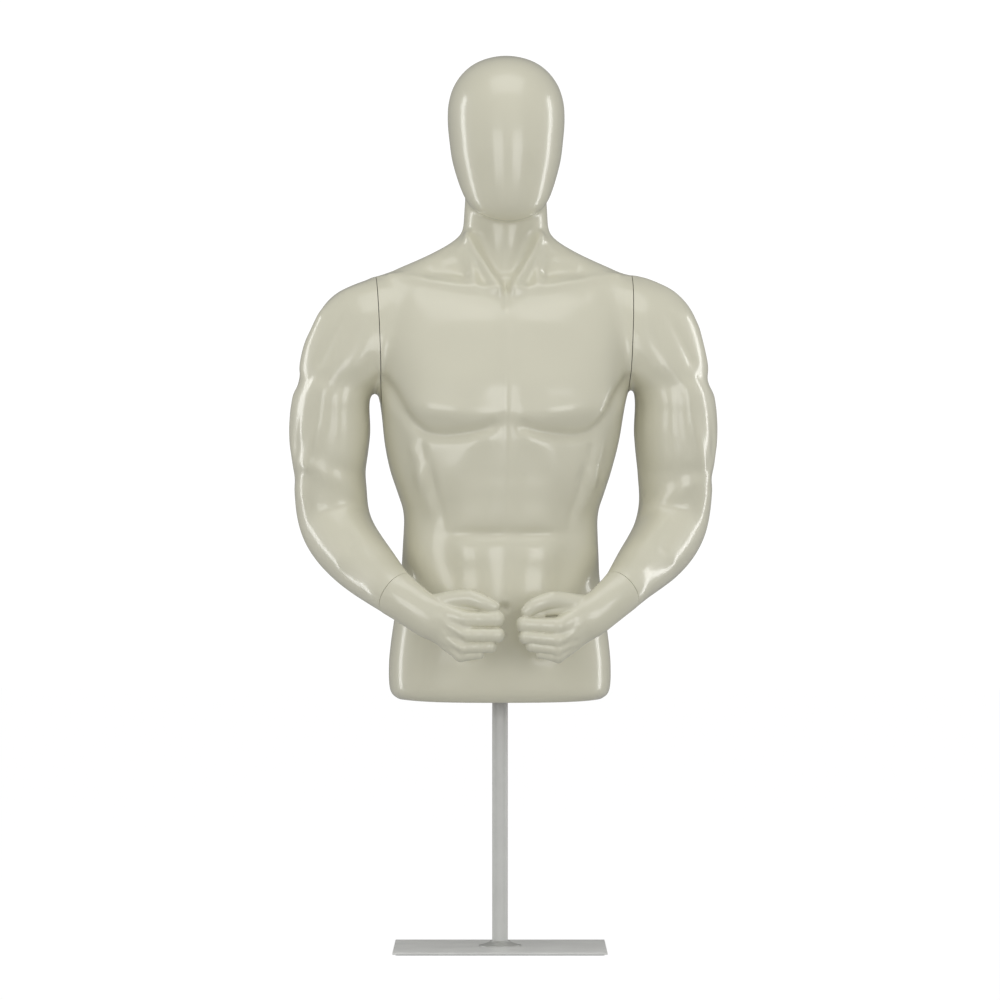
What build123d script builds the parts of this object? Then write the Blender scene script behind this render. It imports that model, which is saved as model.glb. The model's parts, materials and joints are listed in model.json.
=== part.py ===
from build123d import *
import os
from math import copysign, cos, exp, pi, radians, sin

os.makedirs("parts", exist_ok=True)

# Faceless display mannequin: a hollow moulded torso with an integral egg head, two lift-off arms
# with closed fists, on a flat square plate with a round pole.
# Frame: millimetres, +Z up, the front of the body faces -Y, +X is the figure's left side.
# The origin is the centre of the underside of the base.
# A screw or bolt ring is written (radius, count, start angle), as PolarLocations takes it.

# ---------------------------------------------------------------- driving dimensions
rest_turn = 3.3  # the torso stands turned a little on its pole, degrees about +Z
wall = 4.0  # moulded shell thickness
seam_gap = 1.0  # visible gap at the shoulder and wrist seams
plate_gap = 0.2  # between a shell wall and the fitting plate behind it
head_recess = 0.15  # countersunk heads sit this far below the shell surface

# stand
mat_t, mat_side, mat_corner_r = 1.0, 292.0, 6.0
plate_side, plate_t, plate_corner_r, plate_edge = 300.0, 3.0, 1.5, 0.5
plate_top = mat_t + plate_t
flange_screw_ring = (42.0 / 2, 4, 45)
flange_screw_r = 2.0
flange_r, flange_rim_t, flange_edge = 30.0, 2.0, 0.5
hub_r = 14.0
spigot_len, spigot_clear, spigot_lead = 58.0, 0.05, 2.0
pole_r, pole_wall = 11.0, 1.5
pole_bore_r = pole_r - pole_wall
pole_foot_z, pole_top_z = 12.0, 540.0
grub_z, grub_r, grub_len = 30.0, 2.45, 4.6
grub_start_y = pole_bore_r - 3.8
cap_t, plug_len = 3.0, 16.0

# stop collar, thrust washer and pole socket, under and inside the torso
running = 0.06  # radial running clearance on the pole
collar_z, collar_h, collar_r = 363.0, 14.0, 20.0
clamp_screw_z, clamp_screw_r = collar_z + collar_h / 2, 3.0
washer_z, washer_t = collar_z + collar_h, 1.5
socket_z = washer_z + washer_t
socket_flange_r, socket_flange_t = 50.0, 4.0
socket_tube_r, socket_top_z, socket_cap_t = 15.0, 566.0, 3.0
panel_z, panel_t = socket_z + socket_flange_t, 12.0
bolt_ring = (86.0 / 2, 4, 45)
bolt_r, bolt_hole_r = 3.0, 3.2
bolt_head_r, bolt_head_t = 6.0, 3.0

# shoulder seams
lean_x = 5.5  # the shoulders sit this far to the figure's left of the pole axis
shoulder_half, shoulder_y, shoulder_z = 178.0, 5.0, 874.0
shoulder_tilt = radians(2.1)  # the seam planes lean out at the top by this
shoulder_opening_r = 18.0
shoulder_screw_ring = (54.0 / 2, 4, 45)
shoulder_screw_r, shoulder_head_r = 2.0, 3.9
shoulder_head_depth, shoulder_shank_len = 2.1, 9.9  # depth is measured from the shell surface

# shoulder fittings
fitting_r, fitting_t, fitting_hole_r = 35.0, 2.5, 2.05
arm_plate_offset = seam_gap + wall + plate_gap
shoulder_stud_side, shoulder_stud_r = 16.0, 6.0
stud_collar_start, stud_collar_t = 1.6, 2.4

# wrist seam and fittings
wrist_point = (165.5, -142.0, 505.0)
wrist_direction = (-0.66, -0.57, -0.49)
wrist_screw_ring = (15.0, 2, 0)
wrist_screw_r, wrist_head_r = 1.5, 2.9
wrist_head_depth, wrist_shank_len = 1.6, 8.4
wrist_stud_side, wrist_stud_r = 9.0, 4.0
bush_r, bush_start, bush_len = 8.0, 3.5, 12.6
pocket_depth = 18.0

# ---------------------------------------------------------------- section tables
# torso: z, centre x, half width, front y, back y, squareness
torso_table = [
    (353.0, 0.0, 143.0, -89.0, 100.0, 2.5),
    (356.0, 0.0, 149.5, -95.0, 106.0, 2.5),
    (362.0, 0.0, 154.0, -99.5, 110.5, 2.5),
    (372.0, 0.0, 156.5, -101.5, 113.5, 2.45),
    (386.0, 0.0, 157.5, -102.5, 115.5, 2.4),
    (405.0, 0.0, 157.3, -103.0, 116.0, 2.4),
    (430.0, 0.0, 155.5, -104.0, 114.0, 2.35),
    (460.0, 0.0, 151.5, -104.5, 108.0, 2.3),
    (500.0, 0.0, 144.5, -105.0, 98.0, 2.3),
    (550.0, 0.0, 138.5, -104.0, 87.0, 2.3),
    (605.0, 0.3, 137.0, -104.0, 80.0, 2.3),
    (640.0, 1.0, 146.0, -107.0, 83.0, 2.35),
    (680.0, 1.7, 158.5, -113.0, 91.0, 2.4),
    (720.0, 2.5, 168.0, -120.0, 101.0, 2.4),
    (760.0, 3.5, 174.5, -125.0, 109.0, 2.4),
    (795.0, 4.2, 182.0, -124.0, 114.0, 2.4),
    (830.0, 5.0, 193.0, -117.0, 117.0, 2.3),
    (865.0, 5.6, 202.0, -106.0, 117.0, 2.2),
    (895.0, 6.2, 205.5, -94.0, 113.0, 2.1),
    (915.0, 6.6, 203.0, -83.0, 108.0, 2.05),
    (930.0, 7.0, 196.5, -74.0, 102.0, 2.0),
    (940.0, 7.3, 187.5, -67.0, 97.0, 2.0),
    (950.0, 7.6, 174.0, -60.0, 91.0, 2.0),
    (960.0, 7.8, 157.0, -54.5, 86.0, 2.0),
    (974.0, 8.0, 127.0, -49.0, 78.5, 2.0),
    (988.0, 8.2, 98.5, -46.0, 71.5, 2.0),
    (1002.0, 8.4, 76.5, -45.0, 66.0, 2.0),
    (1017.0, 8.5, 64.0, -46.0, 62.0, 2.0),
    (1036.0, 8.5, 59.0, -48.0, 60.0, 2.0),
    (1060.0, 8.5, 55.0, -48.0, 56.0, 2.0),
    (1085.0, 8.5, 46.0, -42.0, 46.0, 2.0),
]

# head: the same columns
head_table = [
    (1030.0, 8.5, 20.0, -68.0, -34.0, 2.0),
    (1036.0, 8.5, 37.0, -79.0, -16.0, 2.0),
    (1045.0, 8.5, 51.0, -87.0, 8.0, 2.05),
    (1059.0, 8.5, 60.0, -94.0, 36.0, 2.1),
    (1073.0, 8.5, 65.5, -99.0, 56.0, 2.1),
    (1088.0, 8.5, 70.0, -102.5, 69.0, 2.1),
    (1102.0, 8.5, 74.0, -105.0, 79.0, 2.1),
    (1116.0, 8.5, 77.0, -106.5, 86.0, 2.1),
    (1131.0, 8.5, 79.5, -107.5, 92.0, 2.1),
    (1145.0, 8.5, 81.0, -107.5, 96.0, 2.1),
    (1159.0, 8.5, 82.3, -107.0, 99.0, 2.1),
    (1173.0, 8.5, 83.0, -105.5, 100.0, 2.1),
    (1187.0, 8.5, 82.7, -103.0, 99.0, 2.1),
    (1201.0, 8.5, 80.5, -99.0, 97.0, 2.05),
    (1215.0, 8.5, 76.5, -94.0, 93.0, 2.0),
    (1229.0, 8.5, 69.0, -86.0, 86.0, 2.0),
    (1243.0, 8.5, 57.5, -74.0, 74.0, 2.0),
    (1254.0, 8.5, 41.0, -56.0, 54.0, 2.0),
    (1260.5, 8.5, 21.0, -33.0, 31.0, 2.0),
    (1263.0, 8.5, 4.0, -6.0, 4.0, 2.0),
]

# heights of the sections that shape the two cavities
torso_cavity_heights = [
    panel_z - 0.3, 400, 430, 460, 500, 550, 605, 640, 680, 720, 760, 795, 830,
    865, 895, 915, 930, 941, 953, 967, 981, 995, 1010, 1033, 1060, 1082,
]
head_cavity_heights = [
    1052, 1066, 1080, 1095, 1110, 1125, 1140, 1155,
    1170, 1185, 1199, 1213, 1227, 1239, 1248, 1254,
]

# left arm: centre point, travel direction, half width, half depth, squareness
down = (0.0, 0.0, -1.0)
arm_table = [
    ((lean_x + 150.0, 8.0, 948.5), down, 48.0, 24.0, 2.0),
    ((lean_x + 158.0, 8.0, 943.0), down, 60.0, 38.0, 2.0),
    ((lean_x + 168.0, 8.0, 932.0), down, 67.0, 50.0, 2.0),
    ((lean_x + 178.0, 7.0, 917.0), down, 75.0, 60.0, 2.05),
    ((lean_x + 188.0, 6.0, 890.0), down, 82.0, 67.0, 2.1),
    ((lean_x + 197.0, 5.0, 861.0), down, 83.0, 70.0, 2.1),
    ((lean_x + 207.0, 4.0, 833.0), down, 79.0, 70.0, 2.1),
    ((lean_x + 222.0, 3.0, 807.0), down, 68.5, 68.0, 2.1),
    ((lean_x + 238.0, 2.0, 785.0), down, 56.5, 64.0, 2.1),
    ((lean_x + 243.0, 2.0, 760.0), down, 57.0, 62.0, 2.1),
    ((lean_x + 243.5, 2.0, 730.0), down, 57.5, 60.0, 2.1),
    ((lean_x + 244.5, 3.0, 700.0), down, 56.0, 59.0, 2.1),
    ((lean_x + 245.0, 6.0, 668.0), down, 52.5, 56.0, 2.1),
    ((lean_x + 243.5, 9.0, 636.0), (-0.06, -0.12, -0.99), 50.0, 53.0, 2.1),
    ((lean_x + 238.0, 4.0, 604.0), (-0.22, -0.48, -0.85), 50.0, 49.0, 2.1),
    ((lean_x + 225.0, -22.0, 575.0), (-0.36, -0.68, -0.64), 47.0, 46.0, 2.1),
    ((lean_x + 204.0, -62.0, 549.0), (-0.44, -0.74, -0.51), 42.5, 41.0, 2.1),
    ((lean_x + 183.0, -102.0, 526.0), (-0.53, -0.68, -0.50), 36.0, 34.5, 2.05),
    (wrist_point, wrist_direction, 31.0, 28.5, 2.0),
]
arm_top_z = 900.0  # cavity sections above this are lowered to leave a wall over the shoulder

# closed left fist, from the wrist to the bent finger joints: centre, travel direction, half height,
# front depth, back depth, squareness, depth of the grooves between the fingers
fist_table = [
    ((139.0, -163.0, 485.0), (-0.80, -0.36, -0.48), 30.0, -23.5, 23.5, 2.1, 0.0),
    ((120.0, -169.0, 473.5), (-0.88, -0.22, -0.42), 34.0, -22.0, 22.0, 2.2, 0.0),
    ((101.0, -172.0, 462.0), (-0.94, -0.12, -0.30), 37.0, -21.0, 21.0, 2.4, 0.3),
    ((85.0, -172.5, 453.5), (-0.97, -0.04, -0.18), 36.5, -21.0, 20.0, 2.5, 1.4),
    ((71.0, -172.5, 448.5), (-1.0, 0.0, -0.08), 36.0, -23.5, 19.5, 2.6, 2.8),
    ((56.0, -172.0, 446.0), (-1.0, 0.0, 0.0), 35.0, -25.0, 19.0, 2.6, 3.2),
    ((41.0, -172.0, 445.5), (-1.0, 0.0, 0.0), 34.0, -27.0, 18.0, 2.6, 3.4),
    ((28.0, -172.5, 445.5), (-1.0, 0.0, 0.0), 33.0, -27.5, 15.0, 2.5, 3.4),
    ((20.0, -174.0, 445.8), (-1.0, 0.0, 0.0), 29.5, -24.5, 11.0, 2.3, 2.6),
    ((15.5, -176.0, 446.2), (-1.0, 0.0, 0.0), 23.0, -18.0, 6.0, 2.1, 1.4),
]
finger_valleys = [11.5, -4.5, -19.5]  # grooves between the fingers, from the fist's centre
valley_width = 2.8
heel_start, heel_slope = 14.0, 0.25  # the fist's front recedes below this, at this slope

# left thumb joints: centre, radius
thumb_joints = [
    ((104.0, -163.0, 487.0), 14.0),
    ((72.0, -177.0, 495.0), 11.5),
    ((44.0, -186.0, 490.0), 10.8),
    ((29.0, -186.0, 480.0), 9.0),
]
bone_ratio = 0.95  # the bones are a little thinner than the joints


# ---------------------------------------------------------------- vectors and planes
def unit(v):
    length = sum(c * c for c in v) ** 0.5
    return tuple(c / length for c in v)


def along(point, direction, distance):
    return tuple(p + d * distance for p, d in zip(point, direction))


def limb_plane(point, direction, x_near):
    """Section plane across a limb, its x axis as near x_near as the direction allows."""
    normal = unit(direction)
    overlap = sum(a * n for a, n in zip(x_near, normal))
    return Plane(origin=point, x_dir=unit(along(x_near, normal, -overlap)), z_dir=normal)


def arm_plane(point, direction):
    return limb_plane(point, direction, (1, 0, 0))


def shoulder_plane(offset=0.0, side=1):
    """Plane across a shoulder axis, offset outward from the seam; side is 1 left, -1 right."""
    axis = (side * cos(shoulder_tilt), 0.0, -sin(shoulder_tilt))
    centre = (lean_x + side * shoulder_half, shoulder_y, shoulder_z)
    return Plane(origin=along(centre, axis, offset), x_dir=(0, 1, 0), z_dir=axis)


def wrist_plane(offset=0.0):
    """Plane across the left wrist axis, offset towards the hand."""
    return arm_plane(along(wrist_point, unit(wrist_direction), offset), wrist_direction)


def facing_back(y, z):
    return Plane(origin=(0, y, z), z_dir=(0, 1, 0))


def facing_down(z):
    return Plane(origin=(0, 0, z), z_dir=(0, 0, -1))


def ring_points(radius, count, start_angle):
    angles = [radians(start_angle + 360 * i / count) for i in range(count)]
    return [(radius * cos(a), radius * sin(a)) for a in angles]


# ---------------------------------------------------------------- section outlines
def oval(half_width, front, back, squareness, count=20):
    """Points of a closed oval with its own front and back depth."""
    middle, half_depth = (front + back) / 2, (back - front) / 2
    points = []
    for i in range(count):
        c, s = cos(2 * pi * i / count), sin(2 * pi * i / count)
        x = half_width * copysign(abs(c) ** (2 / squareness), c)
        y = middle + half_depth * copysign(abs(s) ** (2 / squareness), s)
        points.append((x, y))
    return points


def closed_spline(points):
    """Adds a smooth closed curve, with even parameters so that lofts stay light."""
    steps = [i / len(points) for i in range(len(points) + 1)]
    add(Edge.make_spline([Vector(*p) for p in points], periodic=True, parameters=steps))


def outline(half_width, front, back, squareness):
    closed_spline(oval(half_width, front, back, squareness))


def fist_outline(half_height, front, back, squareness, groove):
    """Oval with grooves on its front, x running up the hand and y towards its back."""
    points = []
    for x, y in oval(half_height, front, back, squareness, count=52):
        if y < (front + back) / 2:
            y += sum(groove * exp(-(((x - v) / valley_width) ** 2)) for v in finger_valleys)
            if groove > 0.5:
                y += heel_slope * max(0.0, -x - heel_start)
        points.append((x, y))
    closed_spline(points)


def at_height(table, z):
    """Row values after z at any height, by straight interpolation in a table."""
    if z <= table[0][0]:
        return table[0][1:]
    for low, high in zip(table, table[1:]):
        if z <= high[0]:
            k = (z - low[0]) / (high[0] - low[0])
            return tuple(p + (q - p) * k for p, q in zip(low[1:], high[1:]))
    return table[-1][1:]


def inset(table, z, gap):
    """Table row at height z drawn in by gap, allowing for sloping walls above and below."""
    rows = [at_height(table, z + dz) for dz in (-gap, 0.0, gap)]
    half_width = min(row[1] for row in rows) - gap
    front = max(row[2] for row in rows) + gap
    back = min(row[3] for row in rows) - gap
    return z, rows[1][0], half_width, front, back, rows[1][4]


def blend(p, q, r, s):
    """Smooth midpoint between the middle two of four values, points or rows."""
    if isinstance(q, tuple):
        return tuple(blend(*v) for v in zip(p, q, r, s))
    return (9 * (q + r) - p - s) / 16


def refine(table, longest=30.0):
    """Adds a smooth in-between section wherever two sections are far apart."""
    rows = [table[0]]
    for i, (a, b) in enumerate(zip(table, table[1:])):
        run = sum((q - p) ** 2 for p, q in zip(a[0], b[0])) ** 0.5
        if run > longest:
            before = table[i - 1] if i > 0 else a
            after = table[i + 2] if i + 2 < len(table) else b
            rows.append(blend(before, a, b, after))
        rows.append(b)
    return rows


# ---------------------------------------------------------------- shared solids
def skin(sections, draw=outline):
    """Loft through sections, each a plane followed by the values its outline needs."""
    with BuildPart() as solid:
        for plane, *shape in sections:
            with BuildSketch(plane):
                with BuildLine():
                    draw(*shape)
                make_face()
        loft()
    return solid.part


def level_skin(rows):
    """Loft through horizontal sections given as torso or head table rows."""
    return skin([(Plane(origin=(x, 0, z)), *shape) for z, x, *shape in rows])


def seam_block(side, offset, outward):
    """Block covering everything on one side of a shoulder seam, within the shoulder's height."""
    with BuildPart() as block:
        with BuildSketch(shoulder_plane(offset, side)):
            # the sketch's y axis runs up on the left and down on the right
            with Locations((0, -19)):
                Rectangle(320.0, 240.0)
        extrude(amount=120.0 if outward else -160.0)
    return block.part


def cut_opening(plane, opening_r, screw_ring, hole_r, sink_r):
    """Cuts a round opening and its countersunk screw holes through a shell wall."""
    depth = wall + 2
    with Locations(plane):
        Hole(radius=opening_r, depth=depth)
        with PolarLocations(*screw_ring):
            CounterSinkHole(radius=hole_r, counter_sink_radius=sink_r, depth=depth)


def cut_shoulder_opening(plane):
    cut_opening(plane, shoulder_opening_r, shoulder_screw_ring, hole_r=2.2, sink_r=4.3)


def round_ring(plane, outer_r, inner_r, length):
    with BuildPart() as made:
        with BuildSketch(plane):
            Circle(outer_r)
            Circle(inner_r, mode=Mode.SUBTRACT)
        extrude(amount=length)
    return made.part


def square_socket(plane_at, plate_r, thickness, bore, tube_side, depth, screw_ring, hole_r):
    """Round plate behind a shell wall with a square tube running inward to depth."""
    plate_start = -wall - plate_gap - thickness
    with BuildPart() as socket:
        with BuildSketch(plane_at(plate_start)):
            Circle(plate_r)
            Rectangle(bore, bore, mode=Mode.SUBTRACT)
            with PolarLocations(*screw_ring):
                Circle(hole_r, mode=Mode.SUBTRACT)
        extrude(amount=thickness)
        with BuildSketch(plane_at(-depth)):
            Rectangle(tube_side, tube_side)
            Rectangle(bore, bore, mode=Mode.SUBTRACT)
        extrude(amount=depth + plate_start)
    return socket.part


def stud(plane_at, side, corner_r, depth, start, steps, end_chamfer=0.0):
    """Square peg reaching inward to depth, then round (radius, length) steps from start."""
    with BuildPart() as made:
        with BuildSketch(plane_at(-depth)):
            RectangleRounded(side, side, corner_r)
        extrude(amount=depth + start)
        if end_chamfer:
            chamfer(made.faces().sort_by(Axis.X)[0].edges(), end_chamfer)
        for radius, length in steps:
            with BuildSketch(plane_at(start)):
                Circle(radius)
            extrude(amount=length)
            start += length
    return made.part


def countersunk_screws(plane_at, screw_ring, shank_r, shank_start, shank_len, cone):
    """Plain shanks with conical heads; cone is its two (offset, radius) ends."""
    with BuildPart() as screws:
        for place in ring_points(*screw_ring):
            with BuildSketch(plane_at(shank_start)):
                with Locations(place):
                    Circle(shank_r)
            extrude(amount=shank_len)
            for cone_offset, cone_r in cone:
                with BuildSketch(plane_at(cone_offset)):
                    with Locations(place):
                        Circle(cone_r)
            loft()
    return screws.part


# ---------------------------------------------------------------- stand
def base_mat():
    with BuildPart() as made:
        with BuildSketch():
            RectangleRounded(mat_side, mat_side, mat_corner_r)
        extrude(amount=mat_t)
    return made.part


def base_plate():
    with BuildPart() as made:
        with BuildSketch(Plane.XY.offset(mat_t)):
            RectangleRounded(plate_side, plate_side, plate_corner_r)
        extrude(amount=plate_t)
        chamfer(made.faces().sort_by(Axis.Z)[-1].edges(), plate_edge)
        with Locations(facing_down(mat_t)):
            with PolarLocations(*flange_screw_ring):
                CounterSinkHole(radius=2.25, counter_sink_radius=4.4)
    return made.part


def pole_flange():
    """Flared foot on the plate, with a spigot that the pole slides over."""
    rim_corner = (flange_r - flange_edge, plate_top + flange_rim_t)
    hub_corner = (hub_r, pole_foot_z)
    spigot_r = pole_bore_r - spigot_clear
    spigot_top = pole_foot_z + spigot_len
    with BuildPart() as made:
        with BuildSketch(Plane.XZ):
            with BuildLine():
                Polyline(
                    (0, plate_top),
                    (flange_r, plate_top),
                    (flange_r, plate_top + flange_rim_t - flange_edge),
                    rim_corner,
                )
                Spline(
                    rim_corner,
                    (21.0, plate_top + 4.2),
                    hub_corner,
                    tangents=[(-1, 0.12), (-0.55, 1)],
                )
                Polyline(
                    hub_corner,
                    (spigot_r, pole_foot_z),
                    (spigot_r, spigot_top - spigot_lead),
                    (spigot_r - spigot_lead, spigot_top),
                    (0, spigot_top),
                    (0, plate_top),
                )
            make_face()
        revolve(axis=Axis.Z)
        with Locations(facing_down(plate_top)):
            with PolarLocations(*flange_screw_ring):
                Hole(radius=flange_screw_r, depth=3.6)
        # seat of the grub screw that holds the pole, on the back
        with Locations(facing_back(pole_bore_r, grub_z)):
            Hole(radius=2.5, depth=4.0)
    return made.part


def flange_screws():
    head_r, head_z, cone_top_z = 4.1, mat_t + 0.1, mat_t + 2.25
    tip_z = plate_top + 3.3
    with BuildPart() as made:
        for x, y in ring_points(*flange_screw_ring):
            with BuildSketch(Plane.XZ.offset(-y)):
                with BuildLine():
                    Polyline(
                        (x, head_z),
                        (x + head_r, head_z),
                        (x + flange_screw_r, cone_top_z),
                        (x + flange_screw_r, tip_z),
                        (x, tip_z),
                        close=True,
                    )
                make_face()
            revolve(axis=Axis((x, y, 0), (0, 0, 1)))
    return made.part


def pole():
    with BuildPart() as made:
        with BuildSketch(Plane.XY.offset(pole_foot_z)):
            Circle(pole_r)
            Circle(pole_bore_r, mode=Mode.SUBTRACT)
        extrude(amount=pole_top_z - pole_foot_z)
        with Locations(facing_back(pole_r, grub_z)):
            Hole(radius=grub_r + 0.1, depth=4.0)
    return made.part


def pole_grub_screw():
    hex_r, hex_depth = 1.4, 2.0
    with BuildPart() as made:
        with BuildSketch(facing_back(grub_start_y, grub_z)):
            Circle(grub_r)
        extrude(amount=grub_len)
        chamfer(made.faces().sort_by(Axis.Y)[-1].edges(), 0.3)
        with BuildSketch(Plane(origin=(0, grub_start_y + grub_len, grub_z), z_dir=(0, -1, 0))):
            RegularPolygon(hex_r, 6)
        extrude(amount=hex_depth, mode=Mode.SUBTRACT)
    return made.part


def pole_end_cap():
    with BuildPart() as made:
        with BuildSketch(Plane.XY.offset(pole_top_z)):
            Circle(pole_r - 0.2)
        extrude(amount=cap_t)
        fillet(made.faces().sort_by(Axis.Z)[-1].edges(), 1.2)
        # hollow plug inside the pole
        with BuildSketch(Plane.XY.offset(pole_top_z - plug_len)):
            Circle(pole_bore_r - 0.05)
            Circle(pole_bore_r - 2.5, mode=Mode.SUBTRACT)
        extrude(amount=plug_len)
    return made.part


# ---------------------------------------------------------------- stop collar with its clamp screw
def stop_collar():
    with BuildPart() as made:
        with BuildSketch(Plane.XY.offset(collar_z)):
            Circle(collar_r)
            Circle(pole_r + running, mode=Mode.SUBTRACT)
        extrude(amount=collar_h)
        chamfer(made.edges().filter_by(GeomType.CIRCLE), 0.6)
        with Locations(facing_back(collar_r, clamp_screw_z)):
            Hole(radius=clamp_screw_r + 0.05, depth=collar_r)
    return made.part


def thrust_washer():
    return round_ring(Plane.XY.offset(washer_z), 18.0, pole_r + 0.3, washer_t)


def clamp_screw():
    """Screw on the back of the collar: shank, neck and fluted knob."""
    with BuildPart() as made:
        # distance from the pole, radius, length
        for start, radius, length in ((0.15, clamp_screw_r, 18.0), (11.0, 4.8, 4.0)):
            with BuildSketch(facing_back(pole_r + start, clamp_screw_z)):
                Circle(radius)
            extrude(amount=length)
        with BuildSketch(facing_back(pole_r + 14.5, clamp_screw_z)):
            Circle(7.2)
            with PolarLocations(7.8, 12):
                Circle(1.2, mode=Mode.SUBTRACT)
        extrude(amount=9.5)
        chamfer(made.faces().sort_by(Axis.Y)[-1].edges(), 0.35)
    return made.part


# ---------------------------------------------------------------- pole socket and bottom panel
def pole_socket():
    """Flanged tube, closed at the top, that stands over the pole."""
    with BuildPart() as made:
        with BuildSketch(Plane.XY.offset(socket_z)):
            Circle(socket_flange_r)
        extrude(amount=socket_flange_t)
        chamfer(made.edges().filter_by(GeomType.CIRCLE), 0.5)
        with BuildSketch(Plane.XY.offset(panel_z)):
            Circle(socket_tube_r)
        extrude(amount=socket_top_z - panel_z)
        with BuildSketch(Plane.XY.offset(socket_z)):
            Circle(pole_r + running)
        extrude(amount=socket_top_z - socket_cap_t - socket_z, mode=Mode.SUBTRACT)
        with Locations(facing_down(socket_z)):
            with PolarLocations(*bolt_ring):
                Hole(radius=bolt_hole_r, depth=socket_flange_t)
    return made.part


def bottom_panel():
    shape = inset(torso_table, panel_z + panel_t / 2, wall + 2.4)[2:]
    with BuildPart() as made:
        with BuildSketch(Plane.XY.offset(panel_z)):
            with BuildLine():
                outline(*shape)
            make_face()
            Circle(socket_tube_r + 0.4, mode=Mode.SUBTRACT)
            with PolarLocations(*bolt_ring):
                Circle(bolt_hole_r, mode=Mode.SUBTRACT)
        extrude(amount=panel_t)
    return made.part


def socket_bolts():
    with BuildPart() as made:
        with BuildSketch(Plane.XY.offset(socket_z - bolt_head_t)):
            with PolarLocations(*bolt_ring):
                Circle(bolt_head_r)
        extrude(amount=bolt_head_t)
        fillet(made.faces().group_by(Axis.Z)[0].edges(), 1.2)
        with BuildSketch(Plane.XY.offset(socket_z)):
            with PolarLocations(*bolt_ring):
                Circle(bolt_r)
        extrude(amount=socket_flange_t + panel_t + 7.0)
    return made.part


def socket_nuts():
    with BuildPart() as made:
        with BuildSketch(Plane.XY.offset(panel_z + panel_t)):
            with PolarLocations(*bolt_ring):
                RegularPolygon(5.8, 6)
                Circle(bolt_r + 0.02, mode=Mode.SUBTRACT)
        extrude(amount=5.0)
    return made.part


# ---------------------------------------------------------------- torso shell with head
def torso_cavity():
    with BuildPart() as made:
        add(level_skin([inset(torso_table, z, wall) for z in torso_cavity_heights]))
        for side in (1, -1):
            add(seam_block(side, -wall, outward=True), mode=Mode.SUBTRACT)
    return made.part


def torso_shell():
    with BuildPart() as made:
        add(level_skin(torso_table))
        for side in (1, -1):
            add(seam_block(side, 0, outward=True), mode=Mode.SUBTRACT)
        add(level_skin(head_table))
        add(torso_cavity(), mode=Mode.SUBTRACT)
        head_rows = [inset(head_table, z, wall) for z in head_cavity_heights]
        add(level_skin(head_rows), mode=Mode.SUBTRACT)
        # open bottom: a narrow turned-in lip below, the panel's bonding ledge above it
        for z_low, z_high, lip in ((352.0, 358.0, 26.0), (357.5, panel_z + 0.1, 10.0)):
            with BuildSketch(Plane.XY.offset(z_low)):
                with BuildLine():
                    outline(*inset(torso_table, 400, lip)[2:])
                make_face()
            extrude(amount=z_high - z_low, mode=Mode.SUBTRACT)
        for side in (1, -1):
            cut_shoulder_opening(shoulder_plane(0, side))
    return made.part


# ---------------------------------------------------------------- left shoulder fittings
def shoulder_socket():
    return square_socket(
        shoulder_plane,
        plate_r=fitting_r,
        thickness=fitting_t,
        bore=shoulder_stud_side + 0.3,
        tube_side=22.0,
        depth=46.0,
        screw_ring=shoulder_screw_ring,
        hole_r=fitting_hole_r,
    )


def socket_screws():
    return countersunk_screws(
        shoulder_plane,
        shoulder_screw_ring,
        shoulder_screw_r,
        shank_start=-shoulder_head_depth - shoulder_shank_len,
        shank_len=shoulder_shank_len,
        cone=((-shoulder_head_depth, shoulder_screw_r), (-head_recess, shoulder_head_r)),
    )


def shoulder_stud():
    return stud(
        shoulder_plane,
        side=shoulder_stud_side,
        corner_r=1.0,
        depth=43.0,
        start=stud_collar_start,
        steps=((16.8, stud_collar_t), (shoulder_stud_r, 18.0)),
        end_chamfer=0.8,
    )


def friction_washer():
    start = stud_collar_start + stud_collar_t + 0.05
    return round_ring(shoulder_plane(start), 15.0, shoulder_stud_r + 0.15, 1.1)


def arm_plate():
    with BuildPart() as made:
        with BuildSketch(shoulder_plane(arm_plate_offset)):
            Circle(fitting_r)
            Circle(shoulder_stud_r + 0.06, mode=Mode.SUBTRACT)
            with PolarLocations(*shoulder_screw_ring):
                Circle(fitting_hole_r, mode=Mode.SUBTRACT)
        extrude(amount=fitting_t)
    return made.part


def stud_nut():
    with BuildPart() as made:
        with BuildSketch(shoulder_plane(arm_plate_offset + fitting_t + 0.1)):
            RegularPolygon(11.0, 6)
            Circle(shoulder_stud_r + 0.02, mode=Mode.SUBTRACT)
        extrude(amount=8.0)
        chamfer(made.faces().sort_by(Axis.X)[-1].outer_wire().edges(), 0.6)
    return made.part


def arm_plate_screws():
    cone_end = seam_gap + shoulder_head_depth
    return countersunk_screws(
        shoulder_plane,
        shoulder_screw_ring,
        shoulder_screw_r,
        shank_start=cone_end,
        shank_len=shoulder_shank_len,
        cone=((seam_gap + head_recess, shoulder_head_r), (cone_end, shoulder_screw_r)),
    )


# ---------------------------------------------------------------- left arm shell
# the lofts run upward from the wrist to the top of the shoulder
arm_sections = [
    (point, tuple(-v for v in direction), half_width, half_depth, squareness)
    for point, direction, half_width, half_depth, squareness in refine(arm_table)[::-1]
]


def arm_cavity():
    sections = []
    for point, direction, half_width, half_depth, squareness in arm_sections:
        if point[2] > arm_top_z:
            point = along(point, (0, 0, 1), -wall)
        if point == wrist_point:
            point = along(point, unit(wrist_direction), -wall)
        deep = half_depth - wall
        sections.append((arm_plane(point, direction), half_width - wall, -deep, deep, squareness))
    with BuildPart() as made:
        add(skin(sections))
        add(seam_block(1, seam_gap + wall, outward=False), mode=Mode.SUBTRACT)
    return made.part


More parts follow.
